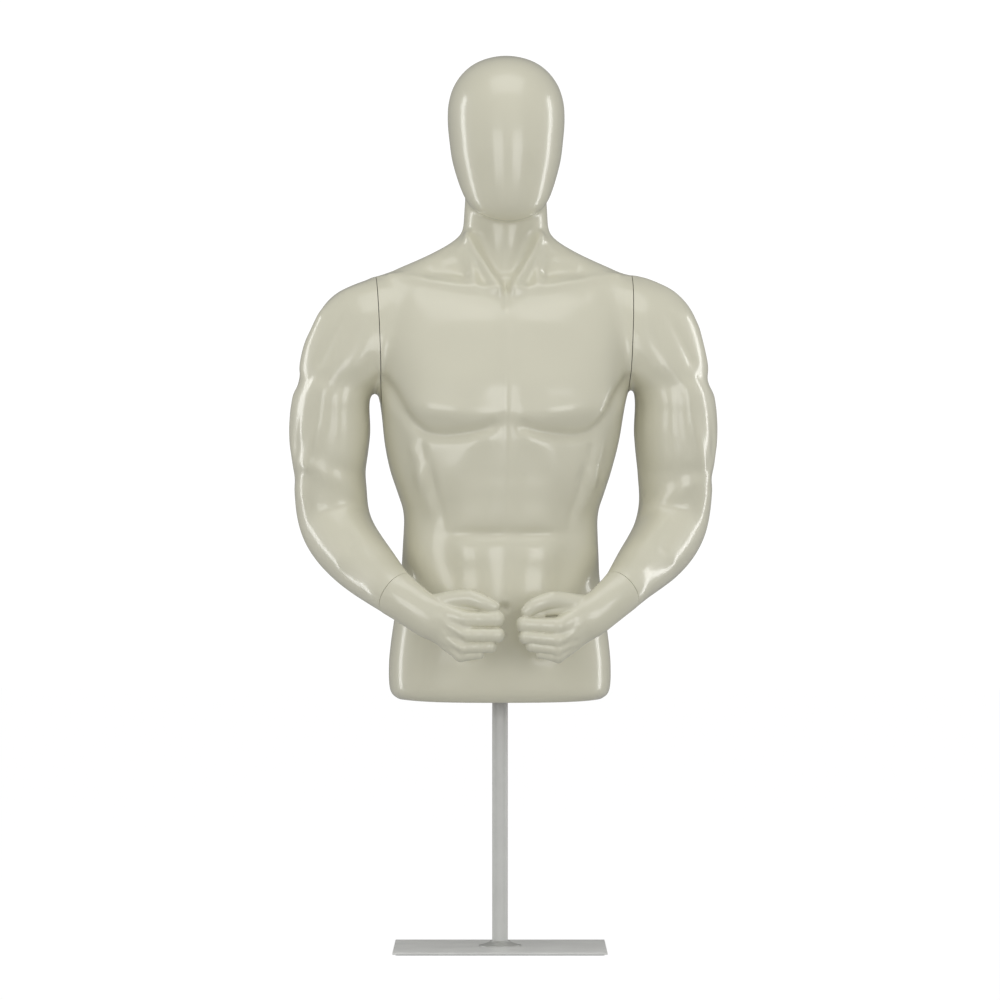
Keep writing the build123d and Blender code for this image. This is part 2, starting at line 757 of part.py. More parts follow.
def arm_shell():
    sections = [
        (arm_plane(point, direction), half_width, -half_depth, half_depth, squareness)
        for point, direction, half_width, half_depth, squareness in arm_sections
    ]
    seam = shoulder_plane(seam_gap)
    with BuildPart() as made:
        add(skin(sections))
        add(seam_block(1, seam_gap, outward=False), mode=Mode.SUBTRACT)
        add(arm_cavity(), mode=Mode.SUBTRACT)
        # holes are cut from the seam face outward into the arm
        cut_shoulder_opening(Plane(origin=seam.origin, x_dir=(0, 1, 0), z_dir=-seam.z_dir))
        cut_opening(wrist_plane(), 9.0, wrist_screw_ring, hole_r=1.7, sink_r=3.2)
    return made.part


# ---------------------------------------------------------------- left wrist fittings
def wrist_socket():
    return square_socket(
        wrist_plane,
        plate_r=19.0,
        thickness=2.0,
        bore=wrist_stud_side + 0.2,
        tube_side=13.0,
        depth=32.0,
        screw_ring=wrist_screw_ring,
        hole_r=1.55,
    )


def wrist_screws():
    return countersunk_screws(
        wrist_plane,
        wrist_screw_ring,
        wrist_screw_r,
        shank_start=-wrist_head_depth - wrist_shank_len,
        shank_len=wrist_shank_len,
        cone=((-wrist_head_depth, wrist_screw_r), (-head_recess, wrist_head_r)),
    )


def wrist_stud():
    return stud(
        wrist_plane,
        side=wrist_stud_side,
        corner_r=0.8,
        depth=18.0,
        start=1.3,
        steps=((7.5, 2.0), (wrist_stud_r, 13.0), (5.5, 2.0)),
    )


def hand_bush():
    return round_ring(wrist_plane(bush_start), bush_r, wrist_stud_r + 0.06, bush_len)


# ---------------------------------------------------------------- closed left fist
def thumb():
    """Rounded joints with straight bones between them."""
    with BuildPart() as made:
        for (a, radius_a), (b, radius_b) in zip(thumb_joints, thumb_joints[1:]):
            run = tuple(q - p for p, q in zip(a, b))
            length = sum(v * v for v in run) ** 0.5
            with Locations(Plane(origin=a, z_dir=run)):
                Cylinder(
                    bone_ratio * min(radius_a, radius_b),
                    length,
                    align=(Align.CENTER, Align.CENTER, Align.MIN),
                )
        for centre, radius in thumb_joints:
            with Locations(centre):
                Sphere(radius)
    return made.part


def hand():
    wrist_axis = unit(wrist_direction)
    wrist_end, heel = (along(wrist_point, wrist_axis, d) for d in (seam_gap, 14.0))
    stations = [
        (wrist_end, wrist_direction, 31.0, -28.5, 28.5, 2.0, 0.0),
        (heel, (-0.70, -0.53, -0.48), 29.0, -26.0, 26.0, 2.0, 0.0),
    ] + fist_table
    sections = [
        (limb_plane(point, direction, (0, 0, 1)), *shape)
        for point, direction, *shape in stations
    ]
    with BuildPart() as made:
        add(skin(sections, draw=fist_outline))
        add(thumb())
        # pocket for the stud and its bush
        with BuildSketch(wrist_plane(seam_gap)):
            Circle(bush_r + 0.02)
        extrude(amount=pocket_depth, mode=Mode.SUBTRACT)
    return made.part


# ---------------------------------------------------------------- output
def save(name, shape, turn=rest_turn):
    """Writes one piece, turned about the pole axis."""
    with BuildPart() as placed:
        add(shape, rotation=(0, 0, turn))
    placed.part.label = name
    export_step(placed.part, f"parts/{name}.step")


def mirrored(shape):
    """Right-hand twin of a left piece."""
    with BuildPart() as twin:
        mirror(shape, about=Plane.YZ.offset(lean_x))
    return twin.part


# each piece's file is named after its function
stand_pieces = [
    base_mat, base_plate, pole_flange, flange_screws, pole, pole_grub_screw, pole_end_cap,
]
turned_pieces = [
    stop_collar, thrust_washer, clamp_screw, pole_socket, bottom_panel, socket_bolts,
    socket_nuts, torso_shell,
]
paired_pieces = [
    shoulder_socket, socket_screws, shoulder_stud, friction_washer, arm_plate, stud_nut,
    arm_plate_screws, arm_shell, wrist_socket, wrist_screws, wrist_stud, hand_bush, hand,
]
for piece in stand_pieces:
    save(piece.__name__, piece(), turn=0)
for piece in turned_pieces:
    save(piece.__name__, piece())
for piece in paired_pieces:
    left_piece = piece()
    save("left_" + piece.__name__, left_piece)
    save("right_" + piece.__name__, mirrored(left_piece))
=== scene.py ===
"""A muscular torso with head, arms and closed fists, resting on a pole above a base plate.

The figure faces -Y with +Z up; its left is +X. It is worked out in millimetres in its own frame,
then turned about the pole (the Z axis) and scaled to metres. `side` is +1 for left, -1 for
right.
"""

import json
import math

import bmesh
import bpy
import numpy as np
import openvdb as vdb
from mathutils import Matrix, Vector


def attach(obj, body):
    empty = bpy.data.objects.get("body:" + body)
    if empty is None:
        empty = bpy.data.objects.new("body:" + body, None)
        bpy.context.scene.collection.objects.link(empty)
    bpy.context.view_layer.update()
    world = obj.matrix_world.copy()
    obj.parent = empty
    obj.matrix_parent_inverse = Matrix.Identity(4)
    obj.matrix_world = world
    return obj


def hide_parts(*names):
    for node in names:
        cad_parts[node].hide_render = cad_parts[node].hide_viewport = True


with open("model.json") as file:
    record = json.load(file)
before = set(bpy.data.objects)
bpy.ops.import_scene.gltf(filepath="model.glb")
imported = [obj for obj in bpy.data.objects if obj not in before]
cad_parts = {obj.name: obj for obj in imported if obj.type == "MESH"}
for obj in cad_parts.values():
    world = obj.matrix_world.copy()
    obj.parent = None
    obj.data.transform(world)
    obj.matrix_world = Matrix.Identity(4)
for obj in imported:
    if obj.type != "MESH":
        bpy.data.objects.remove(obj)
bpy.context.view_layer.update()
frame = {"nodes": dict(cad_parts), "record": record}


def unit(vector):
    vector = np.asarray(vector, float)
    return vector / np.linalg.norm(vector)


# ---------------------------------------------------------------- driving sizes, millimetres
TURN = math.radians(3.3)  # of the whole figure about the pole
LEAN = 5.5  # x of the plane about which the arms are mirror images
MIDDLE = 4.5  # x of the plane about which the torso's relief is mirrored
HEAD_X = 8.5
WALL = 4.0
SEAM = 1.0  # gap between neighbouring pieces
OVERCUT = 1.0  # how far a cutter starts outside the face it cuts
SEAM_TILT = math.radians(2.1)  # the shoulder seams lean from the vertical
SEAM_X, SHOULDER_Y, SHOULDER_Z = 178.0, 5.0, 874.0  # shoulder centre, x from LEAN
WRIST_AXIS = unit((-0.66, -0.57, -0.49))  # left wrist, towards the hand
PANEL_Z = 382.5  # panel in the torso's lower opening
FRONT, BACK = -1, 1
FAR = 60.0  # distance stored in an empty grid
BODY_STEP = 2.5
HAND_STEP = 1.0

# z, centre x, half width, front y, back y, squareness
TORSO = np.array([
    (353, 0, 141, -88, 99, 2.5),
    (355.5, 0, 148, -94.5, 105.5, 2.5),
    (360, 0, 152.5, -98.5, 109.5, 2.5),
    (368, 0, 155.5, -100.5, 112.5, 2.48),
    (386, 0, 157, -102, 115.5, 2.4),
    (405, 0, 156.7, -103, 116, 2.4),
    (430, 0, 154.5, -104, 114, 2.35),
    (460, 0, 150.5, -104.5, 108, 2.3),
    (500, 0, 144, -104, 98, 2.3),
    (530, 0, 140, -103, 91, 2.3),
    (560, 0.1, 138.5, -102, 85, 2.3),
    (590, 0.2, 137, -102, 81, 2.3),
    (605, 0.4, 136.5, -102.5, 80, 2.3),
    (620, 0.6, 138, -104, 80.5, 2.32),
    (640, 1, 144.5, -107, 83, 2.35),
    (680, 1.7, 158.5, -112, 91, 2.4),
    (720, 2.5, 168, -116, 101, 2.4),
    (760, 3.5, 173.5, -120, 109, 2.4),
    (795, 4.2, 180, -119, 114, 2.4),
    (830, 5, 190, -114, 117, 2.3),
    (865, 5.6, 199, -105, 117, 2.2),
    (895, 6.2, 202, -94, 113, 2.1),
    (915, 6.6, 200, -84, 108, 2.05),
    (930, 7, 194, -75, 102, 2),
    (940, 7.3, 186, -68, 97, 2),
    (950, 7.6, 174, -61, 91, 2),
    (960, 7.8, 157, -55, 86, 2),
    (974, 8, 125, -49, 78.5, 2),
    (988, 8.2, 96, -46, 71.5, 2),
    (1002, 8.4, 73, -45, 66, 2),
    (1012, 8.5, 63, -45.5, 63, 2),
    (1022, 8.5, 60, -46, 61.5, 2),
    (1045, 8.5, 58.5, -48, 60, 2),
    (1075, 8.5, 56, -48, 60, 2),
    (1100, 8.5, 50, -44, 56, 2),
], float)
# z, half width, front y, back y
HEAD = np.array([
    (1027, 6, -66, -58), (1030, 21, -76, -42), (1036, 36, -85, -20),
    (1045, 48.5, -92, 6), (1059, 58.5, -97.5, 36), (1073, 64.5, -101, 57),
    (1088, 69.5, -103.5, 70), (1102, 73.5, -105.5, 80), (1116, 76.8, -107, 87),
    (1131, 79, -108, 93), (1145, 80.5, -108, 97), (1159, 82, -107.5, 99.5),
    (1173, 82.6, -106, 100), (1187, 82.3, -103.5, 99), (1201, 80.2, -99.5, 96.5),
    (1215, 76, -93.5, 92), (1229, 68.5, -84.5, 84.5), (1243, 56.5, -71, 72),
    (1254, 40.5, -52, 54), (1260.5, 22, -29, 32), (1263.2, 3, -4, 6),
], float)
# z, centre x from LEAN, half width, front y, back y, squareness
UPPER_ARM = np.array([
    (646, 243.5, 30, -22, 38, 2),
    (656, 244.5, 42, -34, 50, 2),
    (670, 245, 50.5, -46, 58.5, 2.05),
    (685, 245, 54, -52, 61, 2.1),
    (705, 244, 56, -55, 61.5, 2.1),
    (733, 243, 57.5, -58, 62, 2.1),
    (762, 243, 56, -60, 63.5, 2.1),
    (776, 242, 55, -61.5, 65, 2.1),
    (790, 239.5, 55, -63, 66.5, 2.1),
    (804, 229, 61.7, -65, 69.5, 2.1),
    (819, 217, 71, -66.5, 73, 2.1),
    (833, 207, 79, -66.5, 75, 2.1),
    (847, 201, 82.6, -66, 76, 2.1),
    (861, 196, 84, -65, 76, 2.1),
    (875, 192, 83, -63, 75, 2.1),
    (889, 188, 81, -60.5, 73, 2.1),
    (903.5, 182.5, 79.5, -56.5, 70, 2.05),
    (917.6, 177, 75, -50.5, 65.5, 2),
    (931.8, 169, 66, -41.5, 58.5, 2),
    (940, 164, 54, -33.5, 51.5, 2),
    (946, 160, 45, -25, 44, 2),
    (951, 152, 34, -14, 34, 2),
], float)
# elbow to hand: x from LEAN, y, z, radius, depth ratio (radius over half depth)
LOWER_ARM = np.array([
    (245, 5, 676, 52, 0.95),
    (244.5, 8.5, 650, 50.8, 0.95),
    (243.5, 9.5, 628, 50, 0.97),
    (239, 4, 604, 49.5, 1),
    (228, -17, 580, 47.5, 1.01),
    (212, -46, 558, 44.5, 1.02),
    (196, -75, 540, 41, 1.03),
    (179, -107, 522.5, 36, 1.05),
    (160, -142, 505, 31.3, 1.08),
    (142, -154, 491.5, 29.2, 1.15),
    (124, -162, 478.5, 28, 1.25),
    (109, -167, 469, 28.5, 1.35),
], float)
WRIST_ROW = LOWER_ARM[8]
WRIST = WRIST_ROW[:3] + (LEAN, 0, 0)  # left wrist centre

# Hands, first finger to little finger, placed as for a left hand.
# knuckles and middles (the bent joints): x, y, z; thumb: x, y, z, radius
HANDS = {
    1: dict(
        knuckles=[(70, -182, 459.5), (70, -184, 440.5), (71, -181, 427), (71, -176, 416.5)],
        middles=[(23.5, -187, 462), (24.5, -189, 445), (33, -185, 432.5), (47, -178, 422)],
        radii=[11.9, 9.7, 8.3, 7.6],
        thumb=[(112, -160, 484, 16), (88, -168, 492, 13.5), (63, -178, 496, 12),
               (45, -185, 491.5, 11), (32, -188, 486, 10.2), (26, -187, 479, 8.6)],
    ),
    -1: dict(
        knuckles=[(68, -182, 469), (66, -185, 448), (73, -182, 430), (76, -176, 418)],
        middles=[(27, -187, 469.5), (25.5, -191, 447.5), (35, -187, 431.5), (51, -180, 421.5)],
        radii=[12.2, 10.3, 8.6, 7.6],
        thumb=[(112, -160, 487, 16), (88, -168, 495.5, 13.5), (63, -178, 498.5, 12.5),
               (48, -184, 493, 11.2), (35, -187, 488.5, 9.8), (29.5, -187, 486, 8.4)],
    ),
}
FINGER_ROOTS = np.array([(120, -166, 486), (121, -167, 477), (120, -165, 467), (117, -161, 459)])


# ---------------------------------------------------------------- curves and blends
def pchip(stations, values, at):
    """Monotone cubic through a table, held at its ends."""
    gap, slope = np.diff(stations), np.diff(values) / np.diff(stations)
    tangent = np.zeros_like(values)
    for i in range(1, len(stations) - 1):
        if slope[i - 1] * slope[i] > 0:
            w1, w2 = 2 * gap[i] + gap[i - 1], gap[i] + 2 * gap[i - 1]
            tangent[i] = (w1 + w2) / (w1 / slope[i - 1] + w2 / slope[i])
    tangent[0], tangent[-1] = slope[0], slope[-1]
    at = np.clip(at, stations[0], stations[-1])
    i = np.clip(np.searchsorted(stations, at) - 1, 0, len(stations) - 2)
    t = (at - stations[i]) / gap[i]
    return (
        (1 + 2 * t) * (1 - t) ** 2 * values[i]
        + t * (1 - t) ** 2 * gap[i] * tangent[i]
        + t * t * (3 - 2 * t) * values[i + 1]
        + t * t * (t - 1) * gap[i] * tangent[i + 1]
    )


def soften(values, reach, step, sigma):
    """Gaussian average over `reach` samples each way; the ends continue point-mirrored."""
    kernel = np.exp(-0.5 * (np.arange(-reach, reach + 1) * step / sigma) ** 2)
    kernel /= kernel.sum()
    before = 2 * values[0] - values[1 : reach + 1][::-1]
    after = 2 * values[-1] - values[-reach - 1 : -1][::-1]
    return np.convolve(np.concatenate([before, values, after]), kernel, mode="valid")


def smoothstep(start, end, value):
    t = np.clip((value - start) / (end - start), 0, 1)
    return t * t * (3 - 2 * t)


def smooth_min(first, second, blend):
    h = np.clip(0.5 + 0.5 * (second - first) / blend, 0, 1)
    return second * (1 - h) + first * h - blend * h * (1 - h)


def resample(path, step):
    """Smooth, evenly spaced rows along a path of (x, y, z, radius, ratio)."""
    path = np.array(path, float)
    lengths = np.linalg.norm(np.diff(path[:, :3], axis=0), axis=1)
    along = np.concatenate([[0], np.cumsum(lengths)])
    fine = np.arange(0, along[-1] + 0.1, 2.0)
    columns = [soften(pchip(along, column, fine), 12, 2.0, 8.0) for column in path.T]
    at = np.linspace(0, fine[-1], max(2, int(along[-1] / step)))
    return np.stack([np.interp(at, fine, column) for column in columns], 1)


def lower_arm_rows(side):
    """Lower arm of one side; the left one runs a little higher and slimmer near the wrist."""
    rows = LOWER_ARM.copy()
    if side > 0:
        near = np.exp(-(((rows[:, 2] - 520.0) / 42.0) ** 2))
        rows[:, 0] -= 3.0 * near
        rows[:, 2] += 4.2 * near
        rows[:, 3] -= 1.6 * near
    return rows


def arm_path(rows, side, step):
    rows = rows.copy()
    rows[:, 0] = LEAN + side * rows[:, 0]
    return resample(rows, step)


def mirrored(points, side):
    """Points given for the left, moved to one side."""
    return points if side > 0 else points * np.array([-1, 1, 1]) + np.array([2 * LEAN, 0, 0])


# ---------------------------------------------------------------- signed distance shapes
class Grid:
    """A block of signed distances with a low corner and an even step."""

    def __init__(self, low, high, step):
        self.step = step
        self.low = np.asarray(low, float)
        self.count = np.ceil((np.asarray(high, float) - self.low) / step).astype(int) + 1
        self.field = np.full(self.count, FAR, np.float32)

    def empty(self):
        """A cleared block of the same shape."""
        twin = Grid(self.low, self.low, self.step)
        twin.count = self.count
        twin.field = np.full(self.count, FAR, np.float32)
        return twin

    def join(self, low, high, distance, blend=0.0):
        """Adds a shape within a box, blended in when blend is above zero."""
        first = np.floor((np.asarray(low) - self.low) / self.step).astype(int)
        last = np.ceil((np.asarray(high) - self.low) / self.step).astype(int) + 1
        first = np.clip(first, 0, self.count - 1)
        last = np.clip(last, 1, self.count)
        x, y, z = (
            (self.low[k] + self.step * np.arange(first[k], last[k])).astype(np.float32)
            for k in range(3)
        )
        box = tuple(slice(first[k], last[k]) for k in range(3))
        new = distance(x[:, None, None], y[None, :, None], z[None, None, :])
        old = self.field[box]
        self.field[box] = smooth_min(old, new, blend) if blend > 0 else np.minimum(old, new)


def stacked_ovals(table):
    """Signed distance to a stack of oval sections, columns as in TORSO."""
    columns = table.T
    levels = np.arange(columns[0, 0], columns[0, -1] + 0.5, 1.0)
    curves = [
        soften(pchip(columns[0], column, levels), int(4 * sigma), 1.0, sigma)
        for column, sigma in zip(columns[1:], (6, 3.5, 6, 6, 6))
    ]
    curves += [np.gradient(curves[1]), np.gradient((curves[3] - curves[2]) / 2)]

    def distance(x, y, z):
        centre, half, front, back, power, half_slope, depth_slope = [
            np.interp(z, levels, curve).astype(np.float32) for curve in curves
        ]
        dx, dy = x - centre, y - (front + back) / 2
        u, v = np.abs(dx / half) ** power, np.abs(dy / ((back - front) / 2)) ** power
        size = np.maximum(u + v, 1e-6) ** (1 / power)
        radius = np.sqrt(dx * dx + dy * dy)
        slope = (u * half_slope + v * depth_slope) / np.maximum(u + v, 1e-6)
        d = (radius - radius / np.maximum(size, 1e-3)) / np.sqrt(1 + slope * slope)
        return np.maximum(d, np.maximum(levels[0] - z, z - levels[-1]))

    return distance


def head_shape():
    """The egg: section sizes enter squared, so the crown closes smoothly."""
    scale = 80.0**2  # squared half width taken as one
    heights = HEAD[:, 0]
    levels = np.arange(heights[0], heights[-1] + 0.25, 0.5)
    width2 = pchip(heights, HEAD[:, 1] ** 2, levels)
    front, back = pchip(heights, HEAD[:, 2], levels), pchip(heights, HEAD[:, 3], levels)
    width2, depth2, centre_y = (
        soften(values, 16, 0.5, 2.5)
        for values in (width2, ((back - front) / 2) ** 2, (back + front) / 2)
    )
    size = np.maximum(width2, 4.0) / scale
    depth_scale = np.maximum(depth2, 4.0) / size
    size_slope = np.gradient(size, levels)

    def distance(x, y, z):
        level = np.clip(z, levels[0], levels[-1])
        here, depth, middle, gz = (
            np.interp(level, levels, curve).astype(np.float32)
            for curve in (size, depth_scale, centre_y, size_slope)
        )
        over = np.maximum(z - levels[-1], 0) + np.maximum(levels[0] - z, 0)
        g = (x - HEAD_X) ** 2 / scale + (y - middle) ** 2 / depth - here
        gx, gy = 2 * (x - HEAD_X) / scale, 2 * (y - middle) / depth
        return g / np.sqrt(gx * gx + gy * gy + gz * gz + 1e-6) + over

    return distance


def join_rods(grid, path, blend, pad=10.0):
    """Adds tapering round rods along rows of (x, y, z, radius, ratio)."""
    path = np.asarray(path, float)
    for start, end in zip(path, path[1:]):
        a, b = start[:3], end[:3]
        radius, ratio = start[3:]
        radius_b, ratio_b = end[3:]
        d = b - a

        def distance(x, y, z):
            px, py, pz = x - a[0], y - a[1], z - a[2]
            t = np.clip((px * d[0] + py * d[1] + pz * d[2]) / (d @ d), 0, 1)
            depth = ratio + (ratio_b - ratio) * t
            ex, ey, ez = px - t * d[0], (py - t * d[1]) * depth, pz - t * d[2]
            return np.sqrt(ex * ex + ey * ey + ez * ez) - (radius + (radius_b - radius) * t)

        low = np.minimum(a - radius, b - radius_b) - pad
        high = np.maximum(a + radius, b + radius_b) + pad
        grid.join(low, high, distance, blend)


def blur(field):
    for axis in range(3):
        out = field.copy()
        old, new = np.moveaxis(field, axis, 0), np.moveaxis(out, axis, 0)
        new[1:-1] = 0.5 * old[1:-1] + 0.25 * (old[2:] + old[:-2])
        field = out
    return field


# ---------------------------------------------------------------- from distances to a mesh
def tricubic(grid, points):
    """Value and gradient of a grid at points, Catmull-Rom."""
    cell = (points - grid.low) / grid.step
    i = np.clip(np.floor(cell).astype(int), 1, grid.count - 3)
    t = np.clip(cell - i, 0, 1).T
    weight = np.stack([
        -0.5 * t + t**2 - 0.5 * t**3,
        1 - 2.5 * t**2 + 1.5 * t**3,
        0.5 * t + 2 * t**2 - 1.5 * t**3,
        -0.5 * t**2 + 0.5 * t**3,
    ])
    slope = np.stack([
        -0.5 + 2 * t - 1.5 * t**2,
        -5 * t + 4.5 * t**2,
        0.5 + 4 * t - 4.5 * t**2,
        -t + 1.5 * t**2,
    ])
    value = np.zeros(len(points))
    gradient = np.zeros((len(points), 3))
    for a, b, c in np.ndindex(4, 4, 4):
        f = grid.field[i[:, 0] + a - 1, i[:, 1] + b - 1, i[:, 2] + c - 1].astype(float)
        wx, wy, wz = weight[a, 0], weight[b, 1], weight[c, 2]
        value += wx * wy * wz * f
        gradient[:, 0] += slope[a, 0] * wy * wz * f
        gradient[:, 1] += wx * slope[b, 1] * wz * f
        gradient[:, 2] += wx * wy * slope[c, 2] * f
    return value, gradient / grid.step


def edges_of(faces, count):
    """Unique edges, and how many meet at each vertex."""
    sides = faces.shape[1]
    edges = np.concatenate([faces[:, [k, (k + 1) % sides]] for k in range(sides)])
    edges = np.unique(np.sort(edges, axis=1), axis=0)
    return edges, np.bincount(edges.ravel(), minlength=count).astype(float)


def average(points, edges, degree):
    """Mean of each vertex's neighbours."""
    a, b = edges.T
    out = np.zeros_like(points)
    for k, values in enumerate(points.T):
        out[:, k] = np.bincount(a, values[b], len(points)) + np.bincount(b, values[a], len(points))
    return out / np.maximum(degree, 1)[:, None]


def relax(points, faces, rounds, amount):
    edges, degree = edges_of(faces, len(points))
    for _ in range(rounds):
        points = points + amount * (average(points, edges, degree) - points)
    return points


def surface(grid):
    """Closed quad mesh on the zero level, relaxed along the surface and pulled exactly onto it."""
    volume = vdb.FloatGrid(10.0)
    volume.copyFromArray(np.clip(grid.field, -10, 10).astype(np.float32))
    points, quads = volume.convertToQuads(0.0)
    points = np.asarray(points, float) * grid.step + grid.low
    faces = np.asarray(quads, int)
    edges, degree = edges_of(faces, len(points))
    rounds = 6
    for k in range(rounds):
        value, gradient = tricubic(grid, points)
        steepness = np.maximum(np.linalg.norm(gradient, axis=1), 0.2)
        normal = gradient / steepness[:, None]
        points = points - np.clip(value / steepness, -1.5, 1.5)[:, None] * normal
        if k < rounds - 1:
            shift = average(points, edges, degree) - points
            shift -= (shift * normal).sum(1)[:, None] * normal
            points = points + 0.6 * shift
    return points, faces


def normals(points, faces):
    a, b, c, d = (points[faces[:, k]] for k in range(4))
    face_normals = np.cross(c - a, d - b)
    out = np.zeros_like(points)
    for k in range(4):
        for axis in range(3):
            out[:, axis] += np.bincount(faces[:, k], face_normals[:, axis], len(points))
    return out / np.maximum(np.linalg.norm(out, axis=1), 1e-9)[:, None]


def oriented(points, faces, centre):
    """Faces turned to look away from the centre, and their vertex normals."""
    normal = normals(points, faces)
    if (normal * (points - centre)).sum() < 0:
        faces = faces[:, ::-1]
        normal = normals(points, faces)
    return faces, normal


# ---------------------------------------------------------------- relief strokes
def spline_points(points, pieces=8):
    """A smooth curve through the stroke's points."""
    p = np.array(points, float)
    if len(p) < 3:
        return p
    out = []
    for i in range(len(p) - 1):
        p0, p1, p2, p3 = p[max(i - 1, 0)], p[i], p[i + 1], p[min(i + 2, len(p) - 1)]
        for t in np.linspace(0, 1, pieces, endpoint=False):
            linear = 2 * p1 + (p2 - p0) * t
            square = (2 * p0 - 5 * p1 + 4 * p2 - p3) * t * t
            out.append(0.5 * (linear + square + (3 * p1 - p0 - 3 * p2 + p3) * t**3))
    out.append(p[-1])
    return np.array(out)


def stroke(points, line, radius, height):
    """Height of a soft ridge (or groove, if negative) along a line or at a single point."""
    curve = spline_points(line)
    if len(curve) == 1:
        nearest = np.linalg.norm(points - curve[0], axis=1)
    else:
        nearest = np.full(len(points), 1e9)
        for a, b in zip(curve, curve[1:]):
            d = b - a
            t = np.clip(((points - a) @ d) / max(d @ d, 1e-9), 0, 1)
            nearest = np.minimum(nearest, np.linalg.norm(points - a - t[:, None] * d, axis=1))
    return height * np.exp(-((nearest / radius) ** 2))


def oval_patch(x, z, centre, half_size, height, tilt):
    """Height of a soft oval, its x and z half sizes turned by tilt degrees."""
    c, s = math.cos(math.radians(tilt)), math.sin(math.radians(tilt))
    dx, dz = x - centre[0], z - centre[1]
    u, w = (dx * c + dz * s) / half_size[0], (-dx * s + dz * c) / half_size[1]
    return height * np.exp(-(u * u + w * w))


def torso_relief(points, normal):
    """Height to add over the torso. Pairs take x from MIDDLE; lines on the middle take true x."""
    x, z = points[:, 0], points[:, 2]
    plan = points[:, [0, 2]]
    relief = np.zeros(len(points))
    facing = {face: smoothstep(0.05, 0.5, normal[:, 1] * face) for face in (FRONT, BACK)}

    def pair(line, radius, height, face=FRONT):
        relief[:] += sum(
            stroke(plan, [(MIDDLE + s * px, pz) for px, pz in line], radius, height) * facing[face]
            for s in (1, -1)
        )

    def middle(line, radius, height, face=FRONT):
        relief[:] += stroke(plan, line, radius, height) * facing[face]

    def patches(centre, half_size, height, tilt=0.0, face=FRONT):
        for s in (1, -1):
            at = (MIDDLE + s * centre[0], centre[1])
            relief[:] += oval_patch(x, z, at, half_size, height, s * tilt) * facing[face]

    # chest
    patches((84, 784), (62, 42), 8.0)
    patches((72, 757), (54, 17), 5.4, 3)
    patches((120, 768), (25, 24), 4.4, 22)
    patches((130, 838), (40, 40), 3.4, 25)
    pair([(24, 738), (46, 731), (70, 727), (96, 726), (116, 731), (133, 746), (146, 766),
          (160, 788), (173, 804)], 9, -5.6)
    pair([(34, 733), (70, 727), (98, 726), (120, 735), (138, 756)], 4.0, -1.8)
    middle([(4.3, 905), (4.3, 860), (4.2, 810), (4.0, 770), (3.4, 745)], 16, -3.0)
    middle([(4.3, 900), (4.2, 800), (3.6, 748)], 6.5, -0.7)
    patches((60, 878), (46, 22), 1.8)
    # rib cage and belly
    pair([(36, 722), (54, 704), (68, 680), (78, 652)], 19, 2.6)
    patches((22, 700), (26, 34), 1.0)
    patches((112, 690), (24, 46), 3.0, -12)
    patches((120, 666), (8, 21), 5.4, -8)
    patches((104, 662), (6, 24), -3.4, -10)
    patches((130, 704), (7, 15), 3.0, -8)
    patches((117, 706), (5, 16), -1.8, -8)
    patches((107, 628), (8, 15), 2.6, -12)
    patches((94, 622), (6, 20), -1.8, -12)
    middle([(3.6, 742), (3.0, 690), (2.2, 640), (1.4, 596)], 15.0, -2.2)
    middle([(1.4, 590), (1.0, 540), (0.6, 505)], 17.0, -1.3)
    middle([(3.4, 738), (2.4, 650), (1.4, 590)], 6.5, -0.4)
    pair([(80, 645), (86, 600), (84, 560), (76, 515), (62, 470)], 18, -2.6)
    patches((37, 650), (32, 30), 1.6)
    patches((38, 612), (34, 18), 2.4)
    patches((44, 560), (36, 21), 3.8)
    patches((40, 528), (36, 28), 1.8)
    patches((36, 496), (34, 24), 1.0)
    patches((34, 669), (40, 12), -0.5)
    patches((36, 587), (40, 8), -4.6, 1)
    # navel
    middle([(0.4, 485.0)], 5.0, -5.5)
    middle([(0.4, 491.5), (0.4, 492.0)], 4.0, 1.2)
    # flanks, hip crest and groin lines
    patches((120, 562), (19, 34), 3.4, 8)
    pair([(138, 524), (114, 500), (90, 478), (66, 450), (50, 426)], 15, -2.8)
    patches((114, 470), (26, 20), 3.0, 30)
    patches((0.5, 420), (46, 34), 1.4)
    # collar bones, their hollows and the notch
    pair([(17, 930), (32, 932), (54, 934), (90, 940), (128, 947), (160, 950)], 6.5, 3.4)
    pair([(9, 926), (19, 930)], 7.0, 2.4)
    pair([(60, 957), (80, 959), (102, 959)], 11, -5.6)
    pair([(30, 905), (70, 915), (110, 922)], 12, -1.2)
    middle([(4.6, 940), (4.6, 930)], 6.0, -6.5)
    middle([(4.4, 920), (4.4, 906)], 4.5, -2.0)
    # neck tendons: one head runs to the notch, the other to the collar bone
    pair([(8, 931), (15, 942), (25, 957), (35, 974), (44, 994), (48, 1008)], 6.5, 6.6)
    pair([(44, 941), (45, 956), (48, 976), (52, 1000)], 7.5, 3.0)
    pair([(31, 944), (39, 962)], 7.5, -2.8)
    pair([(10, 958), (19, 976), (28, 998), (31, 1008)], 10, -4.0)
    pair([(62, 956), (64, 976)], 9, -4.2)
    middle([(8.0, 1010), (7.5, 985), (6.8, 965)], 12, 1.2)
    neck_side = [(55, -24, 1060), (58.5, -27, 1010), (61, -33, 975), (60, -42, 954), (57, -52, 936)]
    neck_hollow = [(78, -20, 985), (74, -32, 966), (74, -42, 952)]
    for s in (1, -1):
        ridge, groove = (
            [(MIDDLE + s * px, py, pz) for px, py, pz in line] for line in (neck_side, neck_hollow)
        )
        relief += stroke(points, ridge, 8.0, 3.8) * (1 - smoothstep(960, 1028, z))
        relief += stroke(points, groove, 9.0, -2.0)
    # the left flank is a little slimmer than the right
    relief += stroke(points, [(176, 0, 800), (174, 0, 760), (170, 0, 720), (162, 0, 690)], 42, -3.6)
